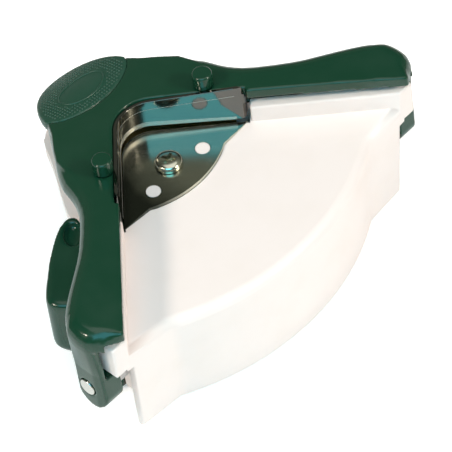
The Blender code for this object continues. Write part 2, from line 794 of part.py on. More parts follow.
def bosses():
    """Screw bosses under the decks, hinge bosses inside the side walls and the springs' pegs."""
    boss_low = BASE_BOTTOM + BASE_FLOOR + GAP
    made = [post_between("die_boss", 0.0, DIE_SCREW_Y, SCREW_BOSS_RADIUS, -DECK - DIE_SCREW_LENGTH, -DECK)]
    for x, y, top in ((BASE_SCREW_FRONT_X, BASE_SCREW_FRONT_Y, -DECK),
                      (-BASE_SCREW_FRONT_X, BASE_SCREW_FRONT_Y, -DECK),
                      (0.0, BASE_SCREW_REAR_Y, -REAR_DECK_DROP - WALL / 2)):
        made.append(post_between("base_boss", x, y, BASE_BOSS_RADIUS, boss_low, top))
    for side in (1, -1):
        length = SKIRT_TURN + WALL
        made.append(drum("hinge_boss", spot(side * (SIDE_X - length / 2), HINGE_Y, -HINGE_DROP),
                         HINGE_BOSS_RADIUS, length, axis="X"))
        made.append(post_between("spring_peg", side * SPRING_X, SPRING_Y, SPRING_PEG_RADIUS,
                                 -REAR_DECK_DROP - WALL / 2, -REAR_DECK_DROP + SPRING_PEG_HEIGHT))
    return made


def post_between(name, x, y, radius, low, high):
    """Upright cylinder between two heights off the datum."""
    return drum(name, spot(x, y, (low + high) / 2), radius, high - low)


def well():
    """Open well behind the die plate, where the blade comes down and the chips fall."""
    outer = v_line(WELL_OUT, WELL_OUT + CORNER_RADIUS, WELL_END, 8)
    inner = v_line(-WELL_OVERHANG, CORNER_RADIUS - WELL_OVERHANG, WELL_END, 8)
    return slab("well", well_outline(outer, inner), SKIRT_BOTTOM - OVERRUN, FENCE_HEIGHT + OVERRUN)


def well_outline(outer, inner):
    """V-shaped band between two lines that each start on the middle line."""
    rim = [(-x, y) for x, y in reversed(outer)] + outer[1:]
    back = list(reversed(inner)) + [(-x, y) for x, y in inner[1:]]
    return rim + back


def plate_seat():
    return slab("plate_seat", plate_outline(-HOLE_CLEARANCE), PLATE_RISE - PLATE_THICKNESS - HOLE_CLEARANCE,
                FENCE_HEIGHT)


def pegs():
    """Pegs that stand in the die plate's two holes."""
    return [post_between("peg", side * PEG_X, PEG_Y, PEG_HOLE_RADIUS - HOLE_CLEARANCE, -DECK, PLATE_RISE)
            for side in (1, -1)]


def body_holes():
    """Holes for the die screw, the hinge pins and the base's screws."""
    made = [post_between("die_hole", 0.0, DIE_SCREW_Y, DIE_SCREW_RADIUS + HOLE_CLEARANCE,
                         -DIE_SCREW_LENGTH - GAP, FENCE_HEIGHT)]
    screw_low = BASE_BOTTOM
    screw_high = BASE_BOTTOM + BASE_SCREW_HEAD + BASE_SCREW_LENGTH
    for x, y in ((BASE_SCREW_FRONT_X, BASE_SCREW_FRONT_Y), (-BASE_SCREW_FRONT_X, BASE_SCREW_FRONT_Y),
                 (0.0, BASE_SCREW_REAR_Y)):
        made.append(post_between("screw_hole", x, y, BASE_SCREW_RADIUS + HOLE_CLEARANCE, screw_low,
                                 screw_high))
    inner_x = pin_inner_x() - GAP
    for side in (1, -1):
        made.append(drum("pin_hole", spot(side * (inner_x + EAR_OUTER_X) / 2, HINGE_Y, -HINGE_DROP),
                         PIN_RADIUS + PIN_CLEARANCE, EAR_OUTER_X - inner_x, axis="X"))
    return made


def pin_inner_x():
    """Inner end of a hinge pin, short of the blind end of its boss."""
    return SIDE_X - PIN_DEPTH


def die_plate():
    plate = slab("die_plate", plate_outline(), PLATE_RISE - PLATE_THICKNESS, PLATE_RISE)
    holes = [drum("peg_hole", spot(side * PEG_X, PEG_Y, 0.0), PEG_HOLE_RADIUS, 2 * PLATE_THICKNESS + OVERRUN)
             for side in (1, -1)]
    holes.append(drum("screw_hole", spot(0.0, DIE_SCREW_Y, 0.0), DIE_SCREW_RADIUS + HOLE_CLEARANCE,
                      2 * PLATE_THICKNESS + OVERRUN))
    cut(plate, *holes)
    return finish(plate, BRIGHT_STEEL)


def turned(name, centre, profile, material, segments=32, hinge=None):
    """Turned piece from a profile of radius and height, which runs down its outer side."""
    shape = bmesh.new()
    corners = [shape.verts.new((radius, 0.0, height)) for radius, height in profile]
    for first, second in zip(corners, corners[1:]):
        shape.edges.new((first, second))
    mesh = bpy.data.meshes.new(name)
    shape.to_mesh(mesh)
    shape.free()
    obj = link(mesh, name, PARTS, material)
    obj.location = centre
    screw = obj.modifiers.new("turn", "SCREW")
    screw.steps = segments
    screw.render_steps = segments
    screw.use_merge_vertices = True
    screw.merge_threshold = TURN_WELD
    bpy.context.view_layer.update()
    made = evaluated_mesh(obj)
    obj.modifiers.clear()
    obj.location = (0.0, 0.0, 0.0)
    obj.data = made
    tidy(obj)
    return finish(obj, material, hinge)


def screw_profile(head_radius, head_height, radius, length):
    """Pan head with a round shoulder over a plain shank, as radius and height pairs."""
    crown = (1.0 - HEAD_RIM_SHARE) * head_height
    dome = [(head_radius * math.sin(a), HEAD_RIM_SHARE * head_height + crown * math.cos(a))
            for a in np.linspace(0.0, math.pi / 2, 6)]
    return dome + [(head_radius, 0.0), (radius, 0.0), (radius, -length), (0.0, -length)]


def die_screw():
    profile = screw_profile(DIE_SCREW_HEAD_RADIUS, DIE_SCREW_HEAD_HEIGHT, DIE_SCREW_RADIUS,
                            DIE_SCREW_LENGTH)
    seat = PLATE_RISE + 2 * HOLE_CLEARANCE
    return turned("die_screw", spot(0.0, DIE_SCREW_Y, seat), profile, BRIGHT_STEEL)


def hinge_empty():
    empty = bpy.data.objects.new("lever_hinge", None)
    empty.location = spot(0.0, HINGE_Y, -HINGE_DROP)
    PARTS.objects.link(empty)
    bpy.context.view_layer.update()
    return empty


def lever(hinge):
    level = CREST_HEIGHT
    piece = slab("lever", lever_outline(), level - LEVER_SKIRT, level)
    round_edges(piece, lambda m, d: is_top(m, d) and is_outer_line(m), LEVER_OUTER_ROUND, 5, clamp=False)
    crown = slab("crown", crown_outline(), level - LEVER_SKIRT, level)
    round_edges(crown, lambda m, d: is_top(m, d) and is_outer_line(m), LEVER_REAR_ROUND, 2)
    join(piece, crown)
    round_edges(piece, lambda m, d: is_top(m, d) and is_inner_line(m), LEVER_INNER_ROUND, 2)
    slice_across(piece, FACET_Y - FENCE_THICKNESS, REAR_REACH, BEND_STEPS)
    reshape(piece, lambda x, y, z: (x, y, z + arch_shift(y, z)))
    cut(piece, lever_hollow(), inner_step(), end_step(1), end_step(-1))
    join(piece, ear(1), ear(-1))
    cut(piece, pad_recess(), blade_slot())
    for side in (1, -1):
        cut(piece, drum("post_hole", spot(side * POST_X, POST_Y, level), POST_SHANK_RADIUS + HOLE_CLEARANCE,
                        2 * LEVER_SKIRT))
        hinge_spot = spot(side * EAR_OUTER_X, HINGE_Y, -HINGE_DROP)
        cut(piece, drum("pin_hole", hinge_spot, PIN_RADIUS + PIN_CLEARANCE, 4 * LUG_RADIUS, axis="X"),
            drum("pin_rim", hinge_spot, PIN_RADIUS + PIN_RIM, 2 * PIN_RIM_DEPTH, axis="X"))
    return finish(piece, GREEN_PLASTIC, hinge)


def arch_shift(y, height):
    """Drop from the level slab to the arched lever, with a shallower skirt at the rear."""
    drop = lever_top(y) - CREST_HEIGHT
    skirt_share = (CREST_HEIGHT - height) / LEVER_SKIRT
    rear_share = min(max((y + PAD_FRONT_DEPTH - PAD_WIDEST_Y) / PAD_FRONT_DEPTH, 0.0), 1.0)
    return drop + skirt_share * rear_share * (LEVER_SKIRT - LEVER_REAR_SKIRT)


def is_inner_line(middle):
    """On the inner faces of the arms, along the fences and round the corner."""
    out = (abs(middle.x) + middle.y) / ROOT_TWO
    return out < LEVER_FACE_OUT + LEVER_INNER_ROUND


def is_outer_line(middle):
    """On the outer edge of the arms and of the rear."""
    out = (abs(middle.x) + middle.y) / ROOT_TWO
    past_fence = middle.y < FENCE_BLOCK_REAR_Y and not is_inner_line(middle)
    return out > LEVER_INNER_ROUND + CORNER_RADIUS or past_fence


def is_top(middle, direction):
    return middle.z > CREST_HEIGHT - SPECK and abs(direction.z) < LEVEL_SHARE


def lever_hollow():
    """Hollow of the lever, under its top wall and inside its side walls."""
    hollow = slab("lever_hollow", inset(lever_outline(), LEVER_SIDE_WALL), -OVERRUN, 0.0)
    slice_across(hollow, FACET_Y - FENCE_THICKNESS, REAR_REACH, BEND_STEPS)
    reshape(hollow, lambda x, y, z: (x, y, lever_ceiling(y) if z > -SPECK else -OVERRUN))
    return hollow


def inner_step():
    """Cut that lifts the underside over the fences, so that the inner edge is one wall thick."""
    width = FENCE_THICKNESS + 2 * GAP
    reach = ARM_REACH + OVERRUN
    outer = v_line(width, CORNER_RADIUS + width, reach, 4)
    inner = v_line(-width, CORNER_RADIUS - width, reach, 4)
    step = slab("inner_step", well_outline(outer, inner), -OVERRUN, 0.0)
    slice_across(step, -ARM_REACH, REAR_REACH, BEND_STEPS)
    reshape(step, lambda x, y, z: (x, y, lever_top(y) - LEVER_TOP_WALL if z > -SPECK else -OVERRUN))
    return step


def end_step(side):
    """Cut that thins an arm's front end over the fence's end block."""
    right = [(0.0, FENCE_BLOCK_REAR_Y), (EAR_INNER_X, FENCE_BLOCK_REAR_Y), (EAR_INNER_X, -ARM_REACH),
             (0.0, -ARM_REACH)]
    step = slab("end_step", [(side * x, y) for x, y in right], -OVERRUN, 0.0)
    slice_across(step, -ARM_REACH, REAR_REACH, BEND_STEPS)
    reshape(step, lambda x, y, z: (x, y, lever_top(y) - LEVER_TOP_WALL if z > -SPECK else -OVERRUN))
    return step


def side_slab(name, outline, low_x, high_x):
    """Flat piece from an outline of depth and height, between two places across the object."""
    plate = slab(name, outline, low_x, high_x)
    origin = Matrix.Translation(spot(0.0, 0.0, 0.0))
    turn = Matrix(((0, 0, 1, 0), (1, 0, 0, 0), (0, 1, 0, 0), (0, 0, 0, 1)))
    plate.data.transform(origin @ turn @ origin.inverted())
    snap(plate.data)
    return plate


def ear_outline(lug_inner):
    """Ear in plan, whose outer side goes on from the arm's rounded end."""
    side = [beside_fence(a * ARM_REACH, o * ARM_SPREAD) for a, o in ARM_OUTLINE_SHARES[-3:]]
    side.append((EAR_OUTER_X, HINGE_Y))
    side += [beside_fence(a * ARM_REACH, o * ARM_SPREAD) for a, o in ARM_END_SHARES[:4]]
    side = [(min(x, EAR_OUTER_X), y) for x, y in side]
    return side + [(lug_inner - GAP, LUG_Y - 2 * LUG_RADIUS), (lug_inner - GAP, LUG_Y + 2 * LUG_RADIUS)]


def ear(side):
    """Hinge ear: an outer cheek down from the arm's end and a round lug under the fence's block."""
    cheek_top = lever_top(HINGE_Y) - LEVER_OUTER_ROUND - EAR_TOP_LAP
    lug_inner = SIDE_X + GAP
    top_y = LUG_Y + EAR_LEAN
    outline = [(top_y + LUG_RADIUS, cheek_top), (top_y - LUG_RADIUS, cheek_top)]
    outline += arc((LUG_Y, -LUG_DROP), LUG_RADIUS, math.pi, 2 * math.pi, 18)
    lug = side_slab("ear", outline, lug_inner, EAR_OUTER_X + OVERRUN)
    combine(lug, slab("ear_plan", ear_outline(lug_inner), -OVERRUN - 3 * LUG_DROP, CREST_HEIGHT), "INTERSECT")
    round_edges(lug, lambda m, d: m.x > FENCE_BLOCK_X and m.z < cheek_top - SPECK, EAR_ROUND, 3,
                least_angle=SHARP_ANGLE)
    cut(lug, block("lug_top", spot(lug_inner - OVERRUN, LUG_Y - 2 * LUG_RADIUS, -LUG_TOP_DROP),
                   spot(EAR_INNER_X, LUG_Y + 2 * LUG_RADIUS, CREST_HEIGHT)))
    if side < 0:
        flip(lug)
    return lug


def flip(obj):
    """Mirror a solid to the left-hand side."""
    obj.data.transform(Matrix.Scale(-1.0, 4, (1.0, 0.0, 0.0)))
    obj.data.flip_normals()


def pad_recess():
    """Step in the lever's rear that the thumb pad lies in."""
    recess = slab("pad_recess", pad_outline(PAD_SEAT_SHARE), -PAD_THICKNESS - GAP, OVERRUN)
    slice_across(recess, PAD_WIDEST_Y - PAD_REAR_DEPTH, REAR_REACH, BEND_STEPS)
    reshape(recess, lambda x, y, z: (x, y, lever_top(y) + z))
    return recess


def thumb_pad(hinge):
    pad = slab("thumb_pad", pad_outline(), -PAD_THICKNESS, 0.0)
    round_edges(pad, lambda m, d: m.z > -SPECK and abs(d.z) < LEVEL_SHARE, PAD_EDGE_ROUND, 2)
    slice_across(pad, PAD_WIDEST_Y - PAD_REAR_DEPTH, REAR_REACH, BEND_STEPS)
    reshape(pad, lambda x, y, z: (x, y, lever_top(y) + z))
    return finish(pad, PAD_PLASTIC, hinge)


def blade_line(out):
    """Right half of the blade in plan, from the middle line to its turned-out end."""
    radius = CORNER_RADIUS + out
    run = v_line(out, radius, BLADE_END, 8)
    turn_radius = BLADE_TURN_RADIUS - (out - BLADE_CLEARANCE) + BLADE_THICKNESS
    centre_along = BLADE_END
    centre_out = BLADE_CLEARANCE + BLADE_TURN_RADIUS + BLADE_THICKNESS
    for angle in np.linspace(0.0, math.pi / 2, 4)[1:]:
        run.append(beside_fence(centre_along + turn_radius * math.sin(angle),
                                centre_out - turn_radius * math.cos(angle)))
    run.append(beside_fence(centre_along + turn_radius, centre_out + BLADE_TURN))
    return run


def blade_slot():
    """Room in the lever's edge for the blade, which stands against it."""
    clear = BLADE_CLEARANCE + BLADE_THICKNESS + BLADE_SLOT
    end_along = BLADE_END + BLADE_TURN_RADIUS + BLADE_THICKNESS + BLADE_SLOT
    line = v_line(clear, CORNER_RADIUS + clear, end_along, 8)
    line.append(beside_fence(end_along, -BLADE_THICKNESS))
    near = [(0.0, -CORNER_RADIUS)]
    return slab("blade_slot", well_outline(line, near), -FENCE_HEIGHT, CREST_HEIGHT + OVERRUN)


def cutting_blade(hinge):
    inner = blade_line(BLADE_CLEARANCE)
    outer = blade_line(BLADE_CLEARANCE + BLADE_THICKNESS)
    strip = slab("cutting_blade", well_outline(outer, inner), 0.0, CREST_HEIGHT)
    run = BLADE_FRONT_Y - BLADE_REAR_Y

    def trimmed(x, y, z):
        share = (y - BLADE_REAR_Y) / run
        low = BLADE_EDGE_REAR + (BLADE_EDGE_FRONT - BLADE_EDGE_REAR) * share
        high = BLADE_TOP_REAR + (BLADE_TOP_FRONT - BLADE_TOP_REAR) * share
        turned_out = (abs(x) + y) / ROOT_TWO > BLADE_CLEARANCE + BLADE_THICKNESS + SPECK
        if turned_out:
            high = flange_height(y)
        return (x, y, low if z < SPECK else high)

    slice_across(strip, BLADE_FRONT_Y, BLADE_REAR_Y, 4)
    reshape(strip, trimmed)
    return finish(joined_flange(strip), BRIGHT_STEEL, hinge)


def flange_height(y):
    """Underside of the lever's top wall, less a gap, where the flange lies."""
    return lever_ceiling(y) - GAP


def joined_flange(strip):
    """Blade strip with the flange that the posts hold against the lever."""
    near = BLADE_CLEARANCE + BLADE_THICKNESS / 2
    far = FLANGE_OUT - GAP
    outer = v_line(far, CORNER_RADIUS + far, FLANGE_END, 6)
    inner = v_line(near, CORNER_RADIUS + near, FLANGE_END, 8)
    flange = slab("flange", well_outline(outer, inner), -FLANGE_THICKNESS, 0.0)
    slice_across(flange, -FLANGE_END, CORNER_RADIUS, 4)
    reshape(flange, lambda x, y, z: (x, y, flange_height(y) + z))
    join(strip, flange)
    for side in (1, -1):
        cut(strip, drum("screw_hole", spot(side * POST_X, POST_Y, CREST_HEIGHT / 2),
                        POST_SCREW_RADIUS + HOLE_CLEARANCE, CREST_HEIGHT))
    return strip


def post(side, name, hinge):
    """Round post with a shoulder on the lever and a shank down to the flange."""
    base_height = lever_top(POST_Y - POST_RADIUS)
    rise = POST_RISE
    shank_end = flange_height(POST_Y) - base_height + GAP
    tip = [(POST_RADIUS - POST_ROUND + POST_ROUND * math.sin(a), rise - POST_ROUND + POST_ROUND * math.cos(a))
           for a in np.linspace(0.0, math.pi / 2, 4)]
    profile = [(0.0, rise), *tip, (POST_RADIUS, GAP), (POST_SHANK_RADIUS, GAP), (POST_SHANK_RADIUS, shank_end),
               (POST_SCREW_RADIUS + HOLE_CLEARANCE, shank_end),
               (POST_SCREW_RADIUS + HOLE_CLEARANCE, shank_end + POST_SCREW_LENGTH - FLANGE_THICKNESS),
               (0.0, shank_end + POST_SCREW_LENGTH - FLANGE_THICKNESS)]
    return turned(name, spot(side * POST_X, POST_Y, base_height), profile, GREEN_PLASTIC, 28, hinge)


def post_screw(side, name, hinge):
    under = flange_height(POST_Y) - FLANGE_THICKNESS - GAP
    profile = [(0.0, POST_SCREW_LENGTH - 2 * GAP), (POST_SCREW_RADIUS, POST_SCREW_LENGTH - 2 * GAP),
               (POST_SCREW_RADIUS, 0.0), (POST_SCREW_HEAD_RADIUS, 0.0),
               (POST_SCREW_HEAD_RADIUS, -POST_SCREW_HEAD), (0.0, -POST_SCREW_HEAD)]
    return turned(name, spot(side * POST_X, POST_Y, under), profile, SPRING_STEEL, 20, hinge)


def hinge_pin(side, name):
    inner_x = pin_inner_x()
    outer_x = EAR_OUTER_X + PIN_PROUD
    shape = bmesh.new()
    turn = Matrix.Rotation(math.pi / 2, 4, "Y")
    centre = spot(side * (inner_x + outer_x) / 2, HINGE_Y, -HINGE_DROP)
    bmesh.ops.create_cone(shape, cap_ends=True, segments=32, radius1=PIN_RADIUS, radius2=PIN_RADIUS,
                          depth=outer_x - inner_x, matrix=turn)
    rims = [edge for edge in shape.edges if abs(edge.verts[0].co.x - edge.verts[1].co.x) < SPECK]
    bmesh.ops.bevel(shape, geom=rims, offset=PIN_PROUD, segments=2, profile=0.5, affect="EDGES")
    mesh = bpy.data.meshes.new(name)
    shape.to_mesh(mesh)
    shape.free()
    pin = link(mesh, name, PARTS, BRIGHT_STEEL)
    pin.location = centre
    shade(pin)
    return pin


def return_spring(side, name):
    """Coil of one wire between the rear deck and the lever."""
    low = -REAR_DECK_DROP + GAP + SPRING_WIRE
    high = lever_ceiling(SPRING_Y + SPRING_RADIUS) - GAP - SPRING_WIRE
    count = SPRING_TURNS * SPRING_POINTS
    curve = bpy.data.curves.new(name, "CURVE")
    curve.dimensions = "3D"
    curve.bevel_depth = SPRING_WIRE
    curve.bevel_resolution = 1
    curve.use_fill_caps = True
    spline = curve.splines.new("POLY")
    spline.points.add(count)
    for index, point in enumerate(spline.points):
        turn = 2 * math.pi * index / SPRING_POINTS
        share = index / count
        point.co = (SPRING_RADIUS * math.cos(turn), SPRING_RADIUS * math.sin(turn),
                    low + (high - low) * share, 1.0)
    obj = bpy.data.objects.new(name, curve)
    obj.location = spot(side * SPRING_X, SPRING_Y, 0.0)
    CUTTERS.objects.link(obj)
    bpy.context.view_layer.update()
    mesh = evaluated_mesh(obj)
    bpy.data.objects.remove(obj)
    coil = link(mesh, name, PARTS, SPRING_STEEL)
    tidy(coil)
    pitch = (high - low) / SPRING_TURNS
    print(name, "least gap between turns in mm", round((pitch - 2 * SPRING_WIRE) / MM, 2))
    return finish(coil, SPRING_STEEL)


def base():
    """Green bottom moulding: a floor inside the skirt, walls under the rear hull and a lobe each side."""
    low = BASE_BOTTOM
    floor_top = BASE_BOTTOM + BASE_FLOOR
    body = slab("base", tub_outline(), low, -SPLIT_DROP + GAP)
    reshape(body, drawn_in)
    join(body, wing(1), wing(-1))
    room = slab("tub_room", inset(tub_outline(), WALL), floor_top, 0.0)
    reshape(room, drawn_in)
    cut(body, room)
    join(body, drafted(slab("floor", front_floor_outline(), low + FLOOR_STEP, floor_top - FLOOR_STEP)))
    cut(body, slab("body_room", inset(body_outline(), -WING_ROOT_CLEARANCE), -SPLIT_DROP - GAP, 0.0))
    cut(body, slab("chip_opening", chip_outline(0.0), low - OVERRUN, floor_top + OVERRUN))
    for x, y in ((BASE_SCREW_FRONT_X, BASE_SCREW_FRONT_Y), (-BASE_SCREW_FRONT_X, BASE_SCREW_FRONT_Y),
                 (0.0, BASE_SCREW_REAR_Y)):
        cut(body, post_between("screw_hole", x, y, BASE_SCREW_RADIUS + HOLE_CLEARANCE, low - OVERRUN,
                               floor_top + OVERRUN))
        cut(body, post_between("head_seat", x, y, BASE_SCREW_HEAD_RADIUS + GAP, low - OVERRUN,
                               low + BASE_SCREW_HEAD - GAP))
    for x, y in ((FOOT_FRONT_X, FOOT_FRONT_Y), (FOOT_REAR_X, FOOT_REAR_Y)):
        for side in (1, -1):
            cut(body, post_between("foot_seat", side * x, y, FOOT_RADIUS + HOLE_CLEARANCE, low - OVERRUN,
                                   low + FOOT_SEAT))
    return finish(body, GREEN_PLASTIC)


def front_floor_outline():
    """Part of the floor that lies inside the skirt."""
    side = [(SIDE_X - SKIRT_TURN, SIDE_REAR_Y + OVERRUN), *turned_side()[3:]]
    return inset(mirrored(side + front_arc(14)), WALL + GAP)


def chip_outline(shrink):
    """Oblong of the chip opening and of its cover."""
    half_width = CHIP_OPENING_WIDTH / 2 - shrink
    half_depth = CHIP_OPENING_DEPTH / 2 - shrink
    return [(half_width, CHIP_OPENING_Y + half_depth), (-half_width, CHIP_OPENING_Y + half_depth),
            (-half_width, CHIP_OPENING_Y - half_depth), (half_width, CHIP_OPENING_Y - half_depth)]


def chip_cover():
    """Cover pressed into the chip opening from below."""
    cover = slab("chip_cover", chip_outline(HOLE_CLEARANCE), BASE_BOTTOM, BASE_BOTTOM + BASE_FLOOR)
    return finish(cover, GREEN_PLASTIC)


def wing_outline():
    outer = [beside_fence(a * WING_REACH, o * WING_SPREAD) for a, o in WING_OUTLINE_SHARES]
    start = beside_fence(WING_OUTLINE_SHARES[0][0] * WING_REACH, WING_ROOT_OUT)
    return [start, *smooth_run(outer, 2), beside_fence(WING_REACH, WING_ROOT_OUT)]


def boat(x, y, height):
    """Draw a lobe in toward its foot below its upright wall, along the body and out from it."""
    wall_foot = WING_TOP - WING_DEPTH
    depth_share = max(0.0, wall_foot - height) / (wall_foot - BASE_BOTTOM)
    along = (x - y) / ROOT_TWO
    out = (x + y) / ROOT_TWO
    middle = WING_MIDDLE_SHARE * WING_REACH
    along = middle + (along - middle) * (1.0 - WING_LENGTH_TAPER_SHARE * depth_share)
    out = WING_ROOT_OUT + (out - WING_ROOT_OUT) * (1.0 - WING_OUT_TAPER_SHARE * depth_share)
    return (*beside_fence(along, out), height)


def wing(side):
    """Lobe of the base beside the body, with a pocket in its top."""
    lobe = slab("wing", wing_outline(), BASE_BOTTOM, WING_TOP)

    def is_rim(middle, direction):
        out = (middle.x + middle.y) / ROOT_TWO
        return middle.z > WING_TOP - SPECK and abs(direction.z) < LEVEL_SHARE and out > SHOULDER_OUT + GAP

    round_edges(lobe, is_rim, WING_ROUND, 4)
    slice_level(lobe, WING_TOP - WING_DEPTH)
    reshape(lobe, boat)
    cut(lobe, slab("pocket", pocket_outline(), WING_TOP - WING_POCKET_DEPTH, WING_TOP + OVERRUN))
    if side < 0:
        flip(lobe)
    return lobe


def pocket_outline():
    """Oval pocket, long way along the arm."""
    return [beside_fence(WING_POCKET_ALONG + WING_POCKET_LENGTH / 2 * math.cos(a),
                         WING_POCKET_OUT + WING_POCKET_WIDTH / 2 * math.sin(a))
            for a in np.linspace(0.0, 2 * math.pi, 21)[:-1]]


def base_screw(x, y, name):
    tip = BASE_SCREW_LENGTH
    profile = [(0.0, tip), (BASE_SCREW_RADIUS, tip), (BASE_SCREW_RADIUS, 0.0),
               (BASE_SCREW_HEAD_RADIUS, 0.0), (BASE_SCREW_HEAD_RADIUS, -BASE_SCREW_HEAD),
               (0.0, -BASE_SCREW_HEAD)]
    return turned(name, spot(x, y, BASE_BOTTOM + BASE_SCREW_HEAD - 2 * GAP), profile, SPRING_STEEL, 20)


def foot(x, y, name):
    top = BASE_BOTTOM + FOOT_SEAT - HOLE_CLEARANCE
    return finish(post_between(name, x, y, FOOT_RADIUS, FOOT_BOTTOM, top), RUBBER)


def build():
    hinge = hinge_empty()
    tray_body()
    base()
    chip_cover()
    die_plate()
    die_screw()
    lever(hinge)
    thumb_pad(hinge)
    cutting_blade(hinge)
    base_screw(0.0, BASE_SCREW_REAR_Y, "base_screw_rear")
    for side, word in ((1, "right"), (-1, "left")):
        post(side, "post_" + word, hinge)
        post_screw(side, "post_screw_" + word, hinge)
        hinge_pin(side, "hinge_pin_" + word)
        return_spring(side, "return_spring_" + word)
        base_screw(side * BASE_SCREW_FRONT_X, BASE_SCREW_FRONT_Y, "base_screw_front_" + word)
        foot(side * FOOT_FRONT_X, FOOT_FRONT_Y, "foot_front_" + word)
        foot(side * FOOT_REAR_X, FOOT_REAR_Y, "foot_rear_" + word)


build()
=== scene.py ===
# %% [markdown]
# # A corner rounder, dressed
# The solids of this desk punch come packed with their places and their hinge. This lesson gives them
# their looks: moulded plastic, polished and ground steel, a pipped thumb pad and smooth springs, then
# the lamps and the camera. Lengths are in metres, and +Y runs from the paper's side to the thumb pad.

# %% Load the solids
import math

import bmesh
import bpy
import numpy as np
from mathutils import Matrix, Vector
from mathutils.bvhtree import BVHTree


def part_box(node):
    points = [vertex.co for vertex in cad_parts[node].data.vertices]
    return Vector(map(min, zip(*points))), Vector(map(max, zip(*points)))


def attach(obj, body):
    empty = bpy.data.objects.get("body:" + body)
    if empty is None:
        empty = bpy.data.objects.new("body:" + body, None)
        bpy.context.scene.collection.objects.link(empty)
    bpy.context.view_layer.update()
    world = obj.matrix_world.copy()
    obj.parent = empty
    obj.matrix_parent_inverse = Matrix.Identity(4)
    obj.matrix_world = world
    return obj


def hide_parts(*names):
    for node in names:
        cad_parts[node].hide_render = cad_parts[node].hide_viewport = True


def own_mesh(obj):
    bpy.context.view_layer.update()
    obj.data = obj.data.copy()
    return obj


MM = 0.001
ROOT_TWO = math.sqrt(2.0)
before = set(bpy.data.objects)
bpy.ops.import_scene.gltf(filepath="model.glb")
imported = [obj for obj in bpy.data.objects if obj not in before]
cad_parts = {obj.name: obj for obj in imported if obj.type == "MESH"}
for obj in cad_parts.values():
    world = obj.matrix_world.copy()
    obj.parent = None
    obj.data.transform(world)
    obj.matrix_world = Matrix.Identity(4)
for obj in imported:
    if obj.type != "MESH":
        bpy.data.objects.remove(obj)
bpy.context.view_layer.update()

# %% [markdown]
# The die plate carries the datum that the cutting parts share: its top lies a little above the tray,
# and its round corner sits in the corner of the V. So the V's corner and the tray's height are read
# from the plate's box, and everything that is added below is placed from them.

# %% Find the corner of the V and the tray's height
PLATE_CORNER_RADIUS = 9.0 * MM
PLATE_RISE = 0.2 * MM
plate_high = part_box("die_plate")[1]
VERTEX_Y = plate_high.y + PLATE_CORNER_RADIUS * (ROOT_TWO - 1.0)
TRAY_Z = plate_high.z - PLATE_RISE
print("V corner at y mm", round(VERTEX_Y / MM, 2), "tray at z mm", round(TRAY_Z / MM, 2))

# %% [markdown]
# ## Materials
# A real finish changes a little over the surface: moulded plastic has a faint orange peel and picks up
# smudges, steel has fine grinding lines. Those effects are wanted in several materials, so each one is
# built once as a node group. A group only gives out a value; the shader stays in the material, where the
# value drives its roughness, its colour or its bump.


# %% Helpers for node trees
def add_node(tree, kind, inputs=None, **settings):
    """New node with its settings, and its inputs given as values or as sockets to link from."""
    node = tree.nodes.new(kind)
    for name, value in settings.items():
        setattr(node, name, value)
    for name, value in (inputs or {}).items():
        if isinstance(value, bpy.types.NodeSocket):
            tree.links.new(value, node.inputs[name])
        else:
            node.inputs[name].default_value = value
    return node


def new_group(name, kind, inputs, outputs):
    """Node group with named sockets, returned with its input and output nodes."""
    tree = bpy.data.node_groups.new(name, kind)
    for socket, socket_type, value in inputs:
        made = tree.interface.new_socket(socket, in_out="INPUT", socket_type=socket_type)
        if value is not None:
            made.default_value = value
    for socket, socket_type in outputs:
        tree.interface.new_socket(socket, in_out="OUTPUT", socket_type=socket_type)
    return tree, tree.nodes.new("NodeGroupInput"), tree.nodes.new("NodeGroupOutput")


# %% [markdown]
# The first group is the skin of a moulding: a fine noise for the orange peel, with a slow swell under it
# for the way thick walls sink as they cool. It reads Object coordinates, so the pattern stays on the piece.

# %% Moulded skin group
FLOAT = "NodeSocketFloat"
moulded_skin, skin_in, skin_out = new_group(
    "moulded_skin", "ShaderNodeTree",
    [("Peel Scale", FLOAT, 1800.0), ("Swell Scale", FLOAT, 60.0), ("Swell Share", FLOAT, 0.5)],
    [("Height", FLOAT)])
place = add_node(moulded_skin, "ShaderNodeTexCoord")
peel = add_node(moulded_skin, "ShaderNodeTexNoise",
                {"Vector": place.outputs["Object"], "Scale": skin_in.outputs["Peel Scale"],
                 "Detail": 2.0})
swell = add_node(moulded_skin, "ShaderNodeTexNoise",
                 {"Vector": place.outputs["Object"], "Scale": skin_in.outputs["Swell Scale"],
                  "Detail": 1.0})
blend = add_node(moulded_skin, "ShaderNodeMix", {"Factor": skin_in.outputs["Swell Share"]},
                 data_type="FLOAT")
moulded_skin.links.new(peel.outputs["Fac"], blend.inputs[2])
moulded_skin.links.new(swell.outputs["Fac"], blend.inputs[3])
moulded_skin.links.new(blend.outputs[0], skin_out.inputs["Height"])
print("group made:", moulded_skin.name)

# %% [markdown]
# The second group is handling: soft smudges where fingers have been. A smudge is a noise pushed through
# a narrow ramp, so that most of the surface stays clean and the marks have soft but clear edges.

# %% Handling marks group
handling, hand_in, hand_out = new_group(
    "handling_marks", "ShaderNodeTree", [("Smudge Scale", FLOAT, 90.0)], [("Smudges", FLOAT)])
place = add_node(handling, "ShaderNodeTexCoord")
smudge = add_node(handling, "ShaderNodeTexNoise",
                  {"Vector": place.outputs["Object"], "Scale": hand_in.outputs["Smudge Scale"],
                   "Detail": 4.0})
smudge_ramp = add_node(handling, "ShaderNodeMapRange",
                       {"Value": smudge.outputs["Fac"], "From Min": 0.45, "From Max": 0.70})
handling.links.new(smudge_ramp.outputs["Result"], hand_out.inputs["Smudges"])
print("group made:", handling.name)

# %% [markdown]
# The third group is the grain that a grinding belt leaves on steel: a noise stretched along one
# direction, given as an angle in plan. Its lines drive the bump and the roughness, and a slow cloud, which
# is not stretched, drives the colour.

